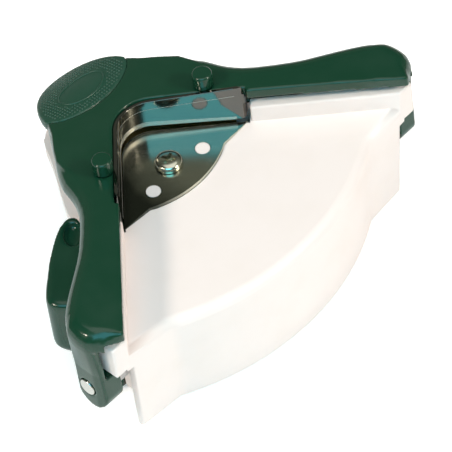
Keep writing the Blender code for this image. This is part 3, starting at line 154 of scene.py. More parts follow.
# %% Ground steel group
grinding, grind_in, grind_out = new_group(
    "grinding_lines", "ShaderNodeTree",
    [("Line Scale", FLOAT, 3000.0), ("Direction", FLOAT, 0.0), ("Stretch", FLOAT, 0.03)],
    [("Lines", FLOAT), ("Cloud", FLOAT)])
place = add_node(grinding, "ShaderNodeTexCoord")
turned = add_node(grinding, "ShaderNodeVectorRotate",
                  {"Vector": place.outputs["Object"], "Axis": (0.0, 0.0, 1.0),
                   "Angle": grind_in.outputs["Direction"]})
spread = add_node(grinding, "ShaderNodeCombineXYZ", {"X": grind_in.outputs["Stretch"], "Y": 1.0, "Z": 1.0})
stretched = add_node(grinding, "ShaderNodeVectorMath",
                     {0: turned.outputs["Vector"], 1: spread.outputs["Vector"]}, operation="MULTIPLY")
lines = add_node(grinding, "ShaderNodeTexNoise",
                 {"Vector": stretched.outputs["Vector"], "Scale": grind_in.outputs["Line Scale"],
                  "Detail": 3.0})
cloud = add_node(grinding, "ShaderNodeTexNoise",
                 {"Vector": place.outputs["Object"], "Scale": 110.0, "Detail": 3.0})
grinding.links.new(lines.outputs["Fac"], grind_out.inputs["Lines"])
grinding.links.new(cloud.outputs["Fac"], grind_out.inputs["Cloud"])
print("group made:", grinding.name)


# %% [markdown]
# The plastics and the rubber share one recipe: a colour that shifts slightly with the smudges, a roughness
# between a clean and a smudged value, and a bump of about a hundredth of a millimetre. Only the numbers
# differ, so the recipe is one function. The clean value of the green is low, because the lever is glossy;
# the white body is satin, and the pad is dull.

# %% Moulded plastic
def mixed_colour(tree, factor, first, second):
    """Colour between two, by a factor that changes over the surface."""
    node = add_node(tree, "ShaderNodeMix", {"Factor": factor}, data_type="RGBA")
    node.inputs[6].default_value = (*first, 1.0)
    node.inputs[7].default_value = (*second, 1.0)
    return node.outputs[2]


def ranged(tree, value, low, high):
    """Value from 0 to 1 laid over another range."""
    node = add_node(tree, "ShaderNodeMapRange", {"Value": value, "To Min": low, "To Max": high})
    return node.outputs["Result"]


def moulded_plastic(name, colour, smudged_colour, clean, smudged, peel_scale, bump_mm):
    """Plastic or rubber with a moulded skin and smudges; clean and smudged are its two roughnesses."""
    material = bpy.data.materials.new(name)
    material.use_nodes = True
    tree = material.node_tree
    shader = tree.nodes["Principled BSDF"]
    skin = add_node(tree, "ShaderNodeGroup", node_tree=moulded_skin)
    skin.inputs["Peel Scale"].default_value = peel_scale
    marks = add_node(tree, "ShaderNodeGroup", node_tree=handling)
    tree.links.new(mixed_colour(tree, marks.outputs["Smudges"], colour, smudged_colour),
                   shader.inputs["Base Color"])
    rough = ranged(tree, marks.outputs["Smudges"], clean, smudged)
    tree.links.new(rough, shader.inputs["Roughness"])
    bump = add_node(tree, "ShaderNodeBump",
                    {"Height": skin.outputs["Height"], "Distance": bump_mm * MM, "Strength": 1.0})
    tree.links.new(bump.outputs["Normal"], shader.inputs["Normal"])
    material.diffuse_color = (*colour, 1.0)
    return material


GREEN = moulded_plastic("green_plastic", (0.0062, 0.043, 0.0225), (0.0080, 0.046, 0.0250),
                        clean=0.14, smudged=0.24, peel_scale=1500.0, bump_mm=0.006)
WHITE = moulded_plastic("white_plastic", (0.88, 0.785, 0.755), (0.865, 0.77, 0.735),
                        clean=0.38, smudged=0.48, peel_scale=1200.0, bump_mm=0.012)
PAD = moulded_plastic("pad_plastic", (0.012, 0.062, 0.038), (0.016, 0.066, 0.042),
                      clean=0.38, smudged=0.50, peel_scale=2500.0, bump_mm=0.01)
PIP = moulded_plastic("pip_plastic", (0.034, 0.090, 0.062), (0.040, 0.096, 0.068),
                      clean=0.45, smudged=0.60, peel_scale=2500.0, bump_mm=0.01)
RUBBER = moulded_plastic("foot_rubber", (0.022, 0.022, 0.023), (0.05, 0.048, 0.045),
                         clean=0.70, smudged=0.88, peel_scale=3000.0, bump_mm=0.03)
print("plastics and rubber made:", len(bpy.data.materials))


# %% [markdown]
# Steel is one recipe too. Its colour wanders between a grey and a warmer one, as a polished and lightly
# oiled plate's does, and its roughness follows the grinding lines. The die plate is polished so far that
# it mirrors the blade; the ground edge is duller and brighter. Toward its left end the plate is painted
# darker, a painted dark reflection of the blade that it mirrors there: a second colour is laid over the
# first, by the place along X, with a noise that makes its edge wavy.

# %% Steel
def steel(name, colour, warm_colour, low, high, direction, line_scale, bump_mm):
    """Steel with grinding lines, whose roughness runs between low and high."""
    material = bpy.data.materials.new(name)
    material.use_nodes = True
    tree = material.node_tree
    shader = tree.nodes["Principled BSDF"]
    grain = add_node(tree, "ShaderNodeGroup", node_tree=grinding)
    grain.inputs["Direction"].default_value = direction
    grain.inputs["Line Scale"].default_value = line_scale
    tree.links.new(mixed_colour(tree, grain.outputs["Cloud"], colour, warm_colour),
                   shader.inputs["Base Color"])
    tree.links.new(ranged(tree, grain.outputs["Lines"], low, high), shader.inputs["Roughness"])
    bump = add_node(tree, "ShaderNodeBump",
                    {"Height": grain.outputs["Lines"], "Distance": bump_mm * MM, "Strength": 1.0})
    tree.links.new(bump.outputs["Normal"], shader.inputs["Normal"])
    shader.inputs["Metallic"].default_value = 1.0
    material.diffuse_color = (*colour, 1.0)
    return material


REFLECTION_EDGE_WANDER = 4.0 * MM


def painted_dark_reflection(material, reflection_colour, start_x, end_x):
    """Darken a steel toward its left end with a painted dark reflection."""
    tree = material.node_tree
    place = add_node(tree, "ShaderNodeTexCoord")
    across = add_node(tree, "ShaderNodeSeparateXYZ", {"Vector": place.outputs["Object"]})
    edge = add_node(tree, "ShaderNodeTexNoise",
                    {"Vector": place.outputs["Object"], "Scale": 120.0, "Detail": 2.0})
    shift = ranged(tree, edge.outputs["Fac"], -REFLECTION_EDGE_WANDER, REFLECTION_EDGE_WANDER)
    wavy = add_node(tree, "ShaderNodeMath", {0: across.outputs["X"], 1: shift}, operation="ADD")
    clear = add_node(tree, "ShaderNodeMapRange",
                     {"Value": wavy.outputs[0], "From Min": start_x, "From Max": end_x})
    shader = tree.nodes["Principled BSDF"]
    bare_steel = shader.inputs["Base Color"].links[0].from_socket
    reflection_mix = add_node(tree, "ShaderNodeMix", {"Factor": clear.outputs["Result"]}, data_type="RGBA")
    reflection_mix.inputs[6].default_value = (*reflection_colour, 1.0)
    tree.links.new(bare_steel, reflection_mix.inputs[7])
    tree.links.new(reflection_mix.outputs[2], shader.inputs["Base Color"])


# %% The steels of this punch
ALONG_RIGHT_FENCE = math.pi / 4
PLATE_STEEL = steel("plate_steel", (0.54, 0.56, 0.49), (0.62, 0.61, 0.49), low=0.14, high=0.28,
                    direction=ALONG_RIGHT_FENCE, line_scale=2500.0, bump_mm=0.002)
# Painted dark reflection: the plate's colour is made darker toward its left end, where it mirrors the dark
# blade.
painted_dark_reflection(PLATE_STEEL, (0.080, 0.090, 0.075), start_x=-14.0 * MM, end_x=-1.0 * MM)
BLADE_STEEL = steel("blade_steel", (0.14, 0.145, 0.145), (0.18, 0.175, 0.155), low=0.06, high=0.14,
                    direction=0.0, line_scale=2500.0, bump_mm=0.002)
GROUND_STEEL = steel("ground_edge_steel", (0.45, 0.45, 0.44), (0.62, 0.60, 0.56), low=0.42, high=0.62,
                     direction=1.2, line_scale=2200.0, bump_mm=0.03)
FASTENER_STEEL = steel("fastener_steel", (0.62, 0.61, 0.58), (0.70, 0.67, 0.62), low=0.16, high=0.32,
                       direction=0.4, line_scale=3000.0, bump_mm=0.003)
# Painted shade: the olive steel of the strip in the body's well stands in for the shade under the raised
# blade.
WELL_SHADE_PAINT = steel("painted_well_shade", (0.62, 0.50, 0.20), (0.75, 0.60, 0.27), low=0.45, high=0.60,
                    direction=0.0, line_scale=1500.0, bump_mm=0.01)
print("materials made:", len(bpy.data.materials))


# %% [markdown]
# ## Solids that keep their shape
# Most solids already have the right shape. They come as loose triangles, which shade flat, so each one
# gets a stand-in: a copy whose points are merged and whose shading is smooth up to a chosen angle. Where
# an edge is seen, it is also broken by a small round, as a mould or a file leaves it. Weighted normals let
# the large faces lead, or else the small faces of a round would tilt the shading of the flats beside it.

# %% From a mesh to a piece
MERGE_DISTANCE = 0.001 * MM
FLATNESS_DEGREES = 0.2


def new_piece(name, mesh, material, body, slot, *nodes):
    """Object from a finished mesh, which rides on a body and may stand for nodes."""
    mesh.materials.clear()
    mesh.materials.append(material)
    for polygon in mesh.polygons:
        polygon.material_index = 0
    piece = bpy.data.objects.new(name, mesh)
    bpy.context.scene.collection.objects.link(piece)
    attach(piece, body)
    if nodes:
        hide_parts(*nodes)
    return piece


def merged_copy(node):
    """Mesh of a solid with its points merged and its flat faces whole again."""
    shape = bmesh.new()
    shape.from_mesh(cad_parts[node].data)
    bmesh.ops.remove_doubles(shape, verts=shape.verts, dist=MERGE_DISTANCE)
    bmesh.ops.dissolve_limit(shape, angle_limit=math.radians(FLATNESS_DEGREES), verts=shape.verts,
                             edges=shape.edges, delimit={"NORMAL"})
    mesh = bpy.data.meshes.new(node + "_skin")
    shape.to_mesh(mesh)
    shape.free()
    return mesh


def applied(obj):
    """Plain mesh of an object with its modifiers worked in; the object is used up."""
    bpy.context.view_layer.update()
    mesh = bpy.data.meshes.new_from_object(obj.evaluated_get(bpy.context.evaluated_depsgraph_get()))
    bpy.data.objects.remove(obj)
    return mesh


# %% Smooth shading and stand-ins
LARGE_FACES_LEAD = 80


def smooth(mesh, degrees):
    """Shade smooth, but keep edges that turn by more than an angle."""
    mesh.shade_smooth()
    mesh.set_sharp_from_angle(angle=math.radians(degrees))
    return mesh


def evened(mesh, degrees):
    """Shade smooth up to an angle, and let the large faces lead."""
    smooth(mesh, degrees)
    helper = bpy.data.objects.new("evened_helper", mesh)
    bpy.context.scene.collection.objects.link(helper)
    weighted = helper.modifiers.new("weighted", "WEIGHTED_NORMAL")
    weighted.keep_sharp = True
    weighted.weight = LARGE_FACES_LEAD
    return applied(helper)


def stand_in(node, name, material, body, slot, degrees, edge_round=0.0):
    """Smoothly shaded stand-in for a solid, with its sharp edges broken by a small round."""
    mesh = merged_copy(node)
    if edge_round > 0.0:
        helper = bpy.data.objects.new(name + "_helper", mesh)
        bpy.context.scene.collection.objects.link(helper)
        bevel = helper.modifiers.new("edge_round", "BEVEL")
        bevel.width = edge_round
        bevel.segments = 2
        bevel.limit_method = "ANGLE"
        bevel.angle_limit = math.radians(degrees)
        mesh = applied(helper)
    return new_piece(name, evened(mesh, degrees), material, body, slot, node)


# %% Stand-ins for the plain solids
PLATE_EDGE_ROUND = 0.15 * MM
POST_EDGE_ROUND = 0.5 * MM
FOOT_EDGE_ROUND = 0.3 * MM
COVER_EDGE_ROUND = 0.2 * MM
FLAT_SIDED_DEGREES = 30.0
ROUND_SIDED_DEGREES = 35.0
stand_in("tray_body", "tray_shell", WHITE, "body", "white_plastic", FLAT_SIDED_DEGREES)
stand_in("cutting_blade", "blade_strip", BLADE_STEEL, "lever", "blade_steel", FLAT_SIDED_DEGREES)
stand_in("die_plate", "plate_with_broken_edges", PLATE_STEEL, "body", "plate_steel",
         FLAT_SIDED_DEGREES, PLATE_EDGE_ROUND)
for word in ("left", "right"):
    stand_in("post_" + word, "lever_post_" + word, GREEN, "lever", "green_plastic",
             ROUND_SIDED_DEGREES, POST_EDGE_ROUND)
    stand_in("hinge_pin_" + word, "pin_" + word, FASTENER_STEEL, "body", "fastener_steel",
             ROUND_SIDED_DEGREES)
    for end in ("front", "rear"):
        stand_in(f"foot_{end}_{word}", f"rubber_foot_{end}_{word}", RUBBER, "body", "foot_rubber",
                 FLAT_SIDED_DEGREES, FOOT_EDGE_ROUND)
stand_in("chip_cover", "chip_door", GREEN, "body", "green_plastic", FLAT_SIDED_DEGREES,
         COVER_EDGE_ROUND)
print("stand-ins made")

# %% [markdown]
# ## Soft mouldings
# The lever and the base are glossy mouldings whose edges and lobes run into each other, so a bevel on
# their cut edges would leave creases. Their skins are rebuilt from even small faces by a voxel remesh and
# then smoothed a little, which rounds every edge alike, as a polished mould does. The outer edge of each
# arm is drawn out to a full round above its ear, and the base's lobes are smoothed more than the rest.

# %% Even-faced skin of a moulding
SMOOTHING_FACTOR = 0.5


def soft_moulding(node, grain, passes):
    """Copy of a moulded solid from even small faces, with its edges rounded by smoothing passes."""
    helper = bpy.data.objects.new(node + "_helper", merged_copy(node))
    bpy.context.scene.collection.objects.link(helper)
    remesh = helper.modifiers.new("remesh", "REMESH")
    remesh.mode = "VOXEL"
    remesh.voxel_size = grain
    soften = helper.modifiers.new("soften", "SMOOTH")
    soften.factor = SMOOTHING_FACTOR
    soften.iterations = passes
    mesh = applied(helper)
    mesh.shade_smooth()
    return mesh


def within(value, low, high):
    """Share of the way from low to high, kept between 0 and 1."""
    return min(1.0, max(0.0, (value - low) / (high - low)))


# %% Fuller ends for the lever's arms
ARM_BULGE = 1.2 * MM
ARM_BULGE_Y = -27.5 * MM
ARM_BULGE_HALF = 6.0 * MM
ARM_BULGE_INNER_X = 50.0 * MM
ARM_BULGE_OUTER_X = 65.0 * MM
ARM_BULGE_FOOT_Z = 31.0 * MM
ARM_BULGE_TOP_Z = 42.0 * MM


def fuller_arm_ends(mesh):
    """Draw each arm's outer edge out to a round above its ear, and leave the ear's flat side as it is."""
    for vertex in mesh.vertices:
        x, y, z = vertex.co
        along = 1.0 - ((y - ARM_BULGE_Y) / ARM_BULGE_HALF) ** 2
        if along > 0.0:
            push = ARM_BULGE * along * within(abs(x), ARM_BULGE_INNER_X, ARM_BULGE_OUTER_X)
            vertex.co.x += math.copysign(push * within(z, ARM_BULGE_FOOT_Z, ARM_BULGE_TOP_Z), x)
    return mesh


# %% Softer lobes for the base
WING_X = 46.0 * MM
WING_BLEND_X = 4.0 * MM
WING_FLOOR_Z = 3.0 * MM
WING_BLEND_Z = 2.0 * MM
WING_PASSES = 30


def softer_wings(mesh):
    """Round the lobes at the base's sides more than the rest, with smoothing held to their points."""
    helper = bpy.data.objects.new("wing_helper", mesh)
    bpy.context.scene.collection.objects.link(helper)
    wings = helper.vertex_groups.new(name="wings")
    for vertex in mesh.vertices:
        weight = within(abs(vertex.co.x), WING_X, WING_X + WING_BLEND_X)
        weight *= within(vertex.co.z, WING_FLOOR_Z, WING_FLOOR_Z + WING_BLEND_Z)
        if weight > 0.0:
            wings.add([vertex.index], weight, "REPLACE")
    soften = helper.modifiers.new("soften_wings", "SMOOTH")
    soften.factor = SMOOTHING_FACTOR
    soften.iterations = WING_PASSES
    soften.vertex_group = "wings"
    return applied(helper)


# %% Skins for the lever and the base
LEVER_GRAIN = 0.4 * MM
LEVER_PASSES = 2
BASE_GRAIN = 0.6 * MM
BASE_PASSES = 6
lever_skin = fuller_arm_ends(soft_moulding("lever", LEVER_GRAIN, LEVER_PASSES))
new_piece("lever_arms", lever_skin, GREEN, "lever", "green_plastic", "lever")
base_skin = softer_wings(soft_moulding("base", BASE_GRAIN, BASE_PASSES))
new_piece("base_tub", base_skin, GREEN, "body", "green_plastic", "base")
for skin in (lever_skin, base_skin):
    print(skin.name, "triangles", sum(len(p.vertices) - 2 for p in skin.polygons))

# %% [markdown]
# ## The thumb pad
# The pad is a separate oval set in the lever. Its solid keeps a running gap all round, but the real pad
# is pressed in with no gap to see, so its skin is made a hair wider than the solid.

# %% Pad skin
PAD_SPREAD = 1.02
pad_skin = evened(merged_copy("thumb_pad"), degrees=30.0)
pad_low, pad_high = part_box("thumb_pad")
pad_middle = (pad_low + pad_high) / 2
for vertex in pad_skin.vertices:
    vertex.co.x = pad_middle.x + (vertex.co.x - pad_middle.x) * PAD_SPREAD
    vertex.co.y = pad_middle.y + (vertex.co.y - pad_middle.y) * PAD_SPREAD
new_piece("pad_insert", pad_skin, PAD, "lever", "pad_plastic", "thumb_pad")
print("pad in mm", [round(size / MM, 1) for size in pad_high - pad_low])


# %% [markdown]
# ## Pips on the thumb pad
# The pad is covered by rows of fine pips, a little under 1 mm apart, outside a plain oval field in its
# middle. Hundreds of like shapes on a curved surface are work for Geometry Nodes: a flat grid of points is
# dropped on the pad by a ray cast, the points in the field and at the rim are left out, and one small
# dome is put on each of the rest, square to the surface.

# %% Named inputs of the pip tree
pip_tree, pip_in, pip_out = new_group(
    "pips_on_pad", "GeometryNodeTree",
    [("Geometry", "NodeSocketGeometry", None), ("Pad", "NodeSocketObject", None),
     ("Centre", "NodeSocketVector", None), ("Width", FLOAT, 0.03), ("Depth", FLOAT, 0.02),
     ("Pitch", FLOAT, 0.0008), ("Pip Radius", FLOAT, 0.0003), ("Pip Height", FLOAT, 0.0002),
     ("Field Half Size", "NodeSocketVector", None), ("Rim Share", FLOAT, 0.94),
     ("Material", "NodeSocketMaterial", None)],
    [("Geometry", "NodeSocketGeometry")])


# %% Helpers for sums and ray casts
RAY_LIFT = 20.0 * MM
RAY_LENGTH = 60.0 * MM
DOWN = (0.0, 0.0, -1.0)


def math_node(tree, operation, first, second):
    """Result of a sum of two numbers or sockets."""
    return add_node(tree, "ShaderNodeMath", {0: first, 1: second}, operation=operation).outputs[0]


def vector_node(tree, operation, first, second):
    """Result of a sum of two vectors or sockets."""
    return add_node(tree, "ShaderNodeVectorMath", {0: first, 1: second}, operation=operation).outputs[0]


def ray_down(tree, target, source):
    """Ray cast straight down from a place lifted well above the surface."""
    lifted = vector_node(tree, "ADD", source, (0.0, 0.0, RAY_LIFT))
    return add_node(tree, "GeometryNodeRaycast",
                    {"Target Geometry": target, "Source Position": lifted, "Ray Direction": DOWN,
                     "Ray Length": RAY_LENGTH})


# %% Grid of places over the pad
pad_info = add_node(pip_tree, "GeometryNodeObjectInfo", {"Object": pip_in.outputs["Pad"]},
                    transform_space="RELATIVE")
columns = math_node(pip_tree, "DIVIDE", pip_in.outputs["Width"], pip_in.outputs["Pitch"])
rows = math_node(pip_tree, "DIVIDE", pip_in.outputs["Depth"], pip_in.outputs["Pitch"])
grid = add_node(pip_tree, "GeometryNodeMeshGrid",
                {"Size X": pip_in.outputs["Width"], "Size Y": pip_in.outputs["Depth"],
                 "Vertices X": columns, "Vertices Y": rows})
centred = add_node(pip_tree, "GeometryNodeSetPosition",
                   {"Geometry": grid.outputs["Mesh"], "Offset": pip_in.outputs["Centre"]})
print("pip tree nodes after the grid:", len(pip_tree.nodes))

# %% Places at the rim and in the bare field
here = add_node(pip_tree, "GeometryNodeInputPosition").outputs["Position"]
from_centre = vector_node(pip_tree, "SUBTRACT", here, pip_in.outputs["Centre"])
share_vector = add_node(pip_tree, "ShaderNodeCombineXYZ",
                        {"X": pip_in.outputs["Rim Share"], "Y": pip_in.outputs["Rim Share"], "Z": 1.0})
pushed = vector_node(pip_tree, "DIVIDE", from_centre, share_vector.outputs["Vector"])
pushed_out = vector_node(pip_tree, "ADD", pushed, pip_in.outputs["Centre"])
surface = ray_down(pip_tree, pad_info.outputs["Geometry"], here)
rim = ray_down(pip_tree, pad_info.outputs["Geometry"], pushed_out)
in_field = vector_node(pip_tree, "DIVIDE", from_centre, pip_in.outputs["Field Half Size"])
flat_field = vector_node(pip_tree, "MULTIPLY", in_field, (1.0, 1.0, 0.0))
field_reach = add_node(pip_tree, "ShaderNodeVectorMath", {0: flat_field}, operation="LENGTH")
outside = math_node(pip_tree, "GREATER_THAN", field_reach.outputs["Value"], 1.0)
kept = math_node(pip_tree, "MULTIPLY", rim.outputs["Is Hit"], surface.outputs["Is Hit"])
kept = math_node(pip_tree, "MULTIPLY", kept, outside)
dropped = math_node(pip_tree, "SUBTRACT", 1.0, kept)
thinned = add_node(pip_tree, "GeometryNodeDeleteGeometry",
                   {"Geometry": centred.outputs["Geometry"], "Selection": dropped}, domain="POINT")
print("pip tree nodes after the choice of places:", len(pip_tree.nodes))

# %% A dome on each place that is kept
seated = add_node(pip_tree, "GeometryNodeSetPosition",
                  {"Geometry": thinned.outputs["Geometry"], "Position": surface.outputs["Hit Position"]})
squared = add_node(pip_tree, "FunctionNodeAlignRotationToVector",
                   {"Vector": surface.outputs["Hit Normal"]}, axis="Z")
dome = add_node(pip_tree, "GeometryNodeMeshUVSphere", {"Segments": 8, "Rings": 4, "Radius": 1.0})
dome_size = add_node(pip_tree, "ShaderNodeCombineXYZ",
                     {"X": pip_in.outputs["Pip Radius"], "Y": pip_in.outputs["Pip Radius"],
                      "Z": pip_in.outputs["Pip Height"]})
placed = add_node(pip_tree, "GeometryNodeInstanceOnPoints",
                  {"Points": seated.outputs["Geometry"], "Instance": dome.outputs["Mesh"],
                   "Rotation": squared.outputs["Rotation"], "Scale": dome_size.outputs["Vector"]})
real = add_node(pip_tree, "GeometryNodeRealizeInstances", {"Geometry": placed.outputs["Instances"]})
painted = add_node(pip_tree, "GeometryNodeSetMaterial",
                   {"Geometry": real.outputs["Geometry"], "Material": pip_in.outputs["Material"]})
pip_tree.links.new(painted.outputs["Geometry"], pip_out.inputs["Geometry"])
print("pip tree nodes:", len(pip_tree.nodes))


# %% Run the tree
def grown(name, tree, values):
    """Plain mesh that a Geometry Nodes tree makes from named values."""
    host = bpy.data.objects.new(name, bpy.data.meshes.new(name))
    bpy.context.scene.collection.objects.link(host)
    modifier = host.modifiers.new("tree", "NODES")
    modifier.node_group = tree
    for item in tree.interface.items_tree:
        if item.in_out == "INPUT" and item.name in values:
            modifier[item.identifier] = values[item.name]
    return applied(host)


FIELD_HALF_WIDTH = 7.8 * MM
FIELD_HALF_DEPTH = 4.9 * MM
FIELD_FROM_REAR = 12.8 * MM
PIP_PITCH = 0.95 * MM
PIP_RADIUS = 0.34 * MM
PIP_HEIGHT = 0.26 * MM
PIP_RIM_SHARE = 0.93
pad_size = pad_high - pad_low
pad_centre = Vector((0.0, pad_high.y - FIELD_FROM_REAR, pad_high.z))
bare_half_size = (FIELD_HALF_WIDTH + PIP_PITCH, FIELD_HALF_DEPTH + PIP_PITCH, 1.0)
pip_mesh = grown("pips", pip_tree, {
    "Pad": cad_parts["thumb_pad"], "Centre": pad_centre, "Width": pad_size.x + 2 * PIP_PITCH,
    "Depth": 2 * pad_size.y, "Pitch": PIP_PITCH, "Pip Radius": PIP_RADIUS, "Pip Height": PIP_HEIGHT,
    "Field Half Size": bare_half_size, "Rim Share": PIP_RIM_SHARE, "Material": PIP})
print("pip triangles", sum(len(p.vertices) - 2 for p in pip_mesh.polygons))
new_piece("pad_pips", smooth(pip_mesh, degrees=60.0), PIP, "lever", "pad_plastic")


# %% [markdown]
# ## The oval on the pad
# A smooth raised rim frames the bare field. It is a closed curve with a round section, laid on the
# pad point by point: the height comes from a ray cast on the pad's solid, so the rim follows its crown.

# %% Height of the pad's top
PROBE_LIFT = 10.0 * MM
pad_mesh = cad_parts["thumb_pad"].data
pad_tree = BVHTree.FromPolygons([vertex.co for vertex in pad_mesh.vertices],
                                [polygon.vertices[:] for polygon in pad_mesh.polygons])


def pad_height(x, y):
    """Height of the pad's top over a plan place."""
    place = pad_tree.ray_cast(Vector((x, y, pad_high.z + PROBE_LIFT)), Vector(DOWN))[0]
    return pad_high.z if place is None else place.z


print("pad height mm at the field's centre", round(pad_height(pad_centre.x, pad_centre.y) / MM, 2))


# %% Round wire through points
TUBE_RESOLUTION = 3


def tube_mesh(name, points, radius, cyclic=False):
    """Round wire through points, as a plain mesh with welded caps."""
    curve = bpy.data.curves.new(name, "CURVE")
    curve.dimensions = "3D"
    curve.bevel_depth = radius
    curve.bevel_resolution = TUBE_RESOLUTION
    curve.use_fill_caps = not cyclic
    spline = curve.splines.new("POLY")
    spline.points.add(len(points) - 1)
    for point, place in zip(spline.points, points):
        point.co = (*place, 1.0)
    spline.use_cyclic_u = cyclic
    wire = bpy.data.objects.new(name, curve)
    bpy.context.scene.collection.objects.link(wire)
    mesh = applied(wire)
    shape = bmesh.new()
    shape.from_mesh(mesh)
    bmesh.ops.remove_doubles(shape, verts=shape.verts, dist=MERGE_DISTANCE)
    shape.to_mesh(mesh)
    shape.free()
    return smooth(mesh, degrees=50.0)


# %% Oval rim
RIM_RADIUS = 0.35 * MM
RIM_POINTS = 72
oval = []
for angle in np.linspace(0.0, 2 * math.pi, RIM_POINTS + 1)[:-1]:
    x = pad_centre.x + FIELD_HALF_WIDTH * math.cos(angle)
    y = pad_centre.y + FIELD_HALF_DEPTH * math.sin(angle)
    oval.append((x, y, pad_height(x, y) - RIM_RADIUS / 3))
rim_mesh = tube_mesh("oval_rim", oval, RIM_RADIUS, cyclic=True)
new_piece("pad_oval_rim", rim_mesh, PAD, "lever", "pad_plastic")
print("oval rim faces", len(rim_mesh.polygons))


# %% [markdown]
# ## Screws with a cross recess
# Six screws hold this punch together. Each is turned from a profile of radius and height, spun round
# the screw's axis, and a tapered cross is cut in its head by a boolean. The solids give each one's place,
# and the plate's screw takes its head's width from its solid too.

# %% Turned blank
def spun(profile, steps):
    """Turned mesh from radius and height pairs that run down its outer side."""
    shape = bmesh.new()
    line = [shape.verts.new((radius, 0.0, height)) for radius, height in profile]
    edges = [shape.edges.new(pair) for pair in zip(line, line[1:])]
    bmesh.ops.spin(shape, geom=line + edges, cent=(0.0, 0.0, 0.0), axis=(0.0, 0.0, 1.0),
                   angle=2 * math.pi, steps=steps, use_duplicate=False)
    bmesh.ops.remove_doubles(shape, verts=shape.verts, dist=MERGE_DISTANCE)
    bmesh.ops.recalc_face_normals(shape, faces=shape.faces)
    mesh = bpy.data.meshes.new("turned")
    shape.to_mesh(mesh)
    shape.free()
    return mesh


# %% Cutter for the cross recess
CROSS_REACH_SHARE = 0.72
CROSS_WIDTH_SHARE = 0.28
CROSS_DEPTH_SHARE = 0.80
CROSS_TIP_REACH_SHARE = 0.45
CROSS_TIP_WIDTH_SHARE = 0.7


def cross_cutter(reach, width, depth):
    """Cross of two tapered bars, whose top lies above the head."""
    shape = bmesh.new()
    for turn in (0.0, math.pi / 2):
        bar = bmesh.ops.create_cube(shape, size=1.0)["verts"]
        for vertex in bar:
            low = vertex.co.z < 0.0
            vertex.co.x *= 2 * reach * (CROSS_TIP_REACH_SHARE if low else 1.0)
            vertex.co.y *= width * (CROSS_TIP_WIDTH_SHARE if low else 1.0)
            vertex.co.z = -depth if low else depth
        bmesh.ops.rotate(shape, verts=bar, cent=(0.0, 0.0, 0.0), matrix=Matrix.Rotation(turn, 3, "Z"))
    mesh = bpy.data.meshes.new("cross")
    shape.to_mesh(mesh)
    shape.free()
    return mesh


# %% Cross-head screw
CROWN_POWER = 0.7
CROWN_POINTS = 12


def crown_profile(radius, height, dome_share):
    """Radius and height pairs down a pan head, flatter on top and fuller at the edge than an ellipse."""
    rim_height = height * (1.0 - dome_share)
    pairs = []
    for angle in np.linspace(0.0, math.pi / 2, CROWN_POINTS):
        rise = dome_share * height * max(0.0, math.cos(angle)) ** CROWN_POWER
        pairs.append((radius * math.sin(angle) ** CROWN_POWER, rim_height + rise))
    return pairs


def screw_mesh(head_radius, head_height, shank_radius, length, dome_share, steps):
    """Pan-head screw whose head stands on height 0, with a cross recess in its crown."""
    crown = crown_profile(head_radius, head_height, dome_share)
    profile = crown + [(head_radius, 0.0), (shank_radius, 0.0), (shank_radius, -length), (0.0, -length)]
    screw = bpy.data.objects.new("screw_helper", spun(profile, steps))
    cross = bpy.data.objects.new("cross_helper", cross_cutter(
        CROSS_REACH_SHARE * head_radius, CROSS_WIDTH_SHARE * head_radius, CROSS_DEPTH_SHARE * head_height))
    cross.location.z = head_height
    for helper in (screw, cross):
        bpy.context.scene.collection.objects.link(helper)
    recess = screw.modifiers.new("recess", "BOOLEAN")
    recess.operation = "DIFFERENCE"
    recess.solver = "EXACT"
    recess.use_self = True
    recess.object = cross
    mesh = applied(screw)
    bpy.data.objects.remove(cross)
    return mesh


# %% Screw in its place
def put_screw(node, name, material, body, slot, mesh, low_head, turn):
    """Screw stand-in at a node's place, head up or down."""
    low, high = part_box(node)
    head_z = low.z if low_head else high.z
    place = Matrix.Translation(((low.x + high.x) / 2, (low.y + high.y) / 2, head_z))
    flip = Matrix.Rotation(math.pi if low_head else 0.0, 4, "X")
    drop = Matrix.Translation((0.0, 0.0, -max(v.co.z for v in mesh.vertices)))
    copy = mesh.copy()
    copy.transform(place @ flip @ Matrix.Rotation(turn, 4, "Z") @ drop)
    return new_piece(name, smooth(copy, degrees=32.0), material, body, slot, node)


# %% The screw of the die plate
DIE_HEAD_HEIGHT = 2.2 * MM
DIE_SHANK_RADIUS = 2.0 * MM
DIE_SHANK_LENGTH = 11.0 * MM
DIE_DOME_SHARE = 0.75
DIE_STEPS = 48
DIE_TURN = 0.35
die_low, die_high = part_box("die_screw")
die_mesh = screw_mesh((die_high.x - die_low.x) / 2, DIE_HEAD_HEIGHT, DIE_SHANK_RADIUS, DIE_SHANK_LENGTH,
                      DIE_DOME_SHARE, DIE_STEPS)
put_screw("die_screw", "die_plate_screw", PLATE_STEEL, "body", "plate_steel", die_mesh,
          low_head=False, turn=DIE_TURN)
print("die screw head mm", round((die_high.x - die_low.x) / MM, 2), "faces", len(die_mesh.polygons))

# %% The hidden screws
HIDDEN_DOME_SHARE = 0.35
HIDDEN_STEPS = 32
BASE_HEAD_RADIUS = 2.8 * MM
BASE_HEAD_HEIGHT = 1.6 * MM
BASE_SHANK_RADIUS = 1.5 * MM
BASE_SHANK_LENGTH = 10.0 * MM
BASE_FIRST_TURN = 0.4
FLANGE_HEAD_RADIUS = 2.2 * MM
FLANGE_HEAD_HEIGHT = 1.2 * MM
FLANGE_SHANK_RADIUS = 1.1 * MM
FLANGE_SHANK_LENGTH = 6.4 * MM
FLANGE_TURN_STEP = 0.9
base_mesh = screw_mesh(BASE_HEAD_RADIUS, BASE_HEAD_HEIGHT, BASE_SHANK_RADIUS, BASE_SHANK_LENGTH,
                       HIDDEN_DOME_SHARE, HIDDEN_STEPS)
for index, where in enumerate(("front_left", "front_right", "rear")):
    put_screw("base_screw_" + where, "bottom_screw_" + where, FASTENER_STEEL, "body", "fastener_steel",
              base_mesh, low_head=True, turn=BASE_FIRST_TURN + index)
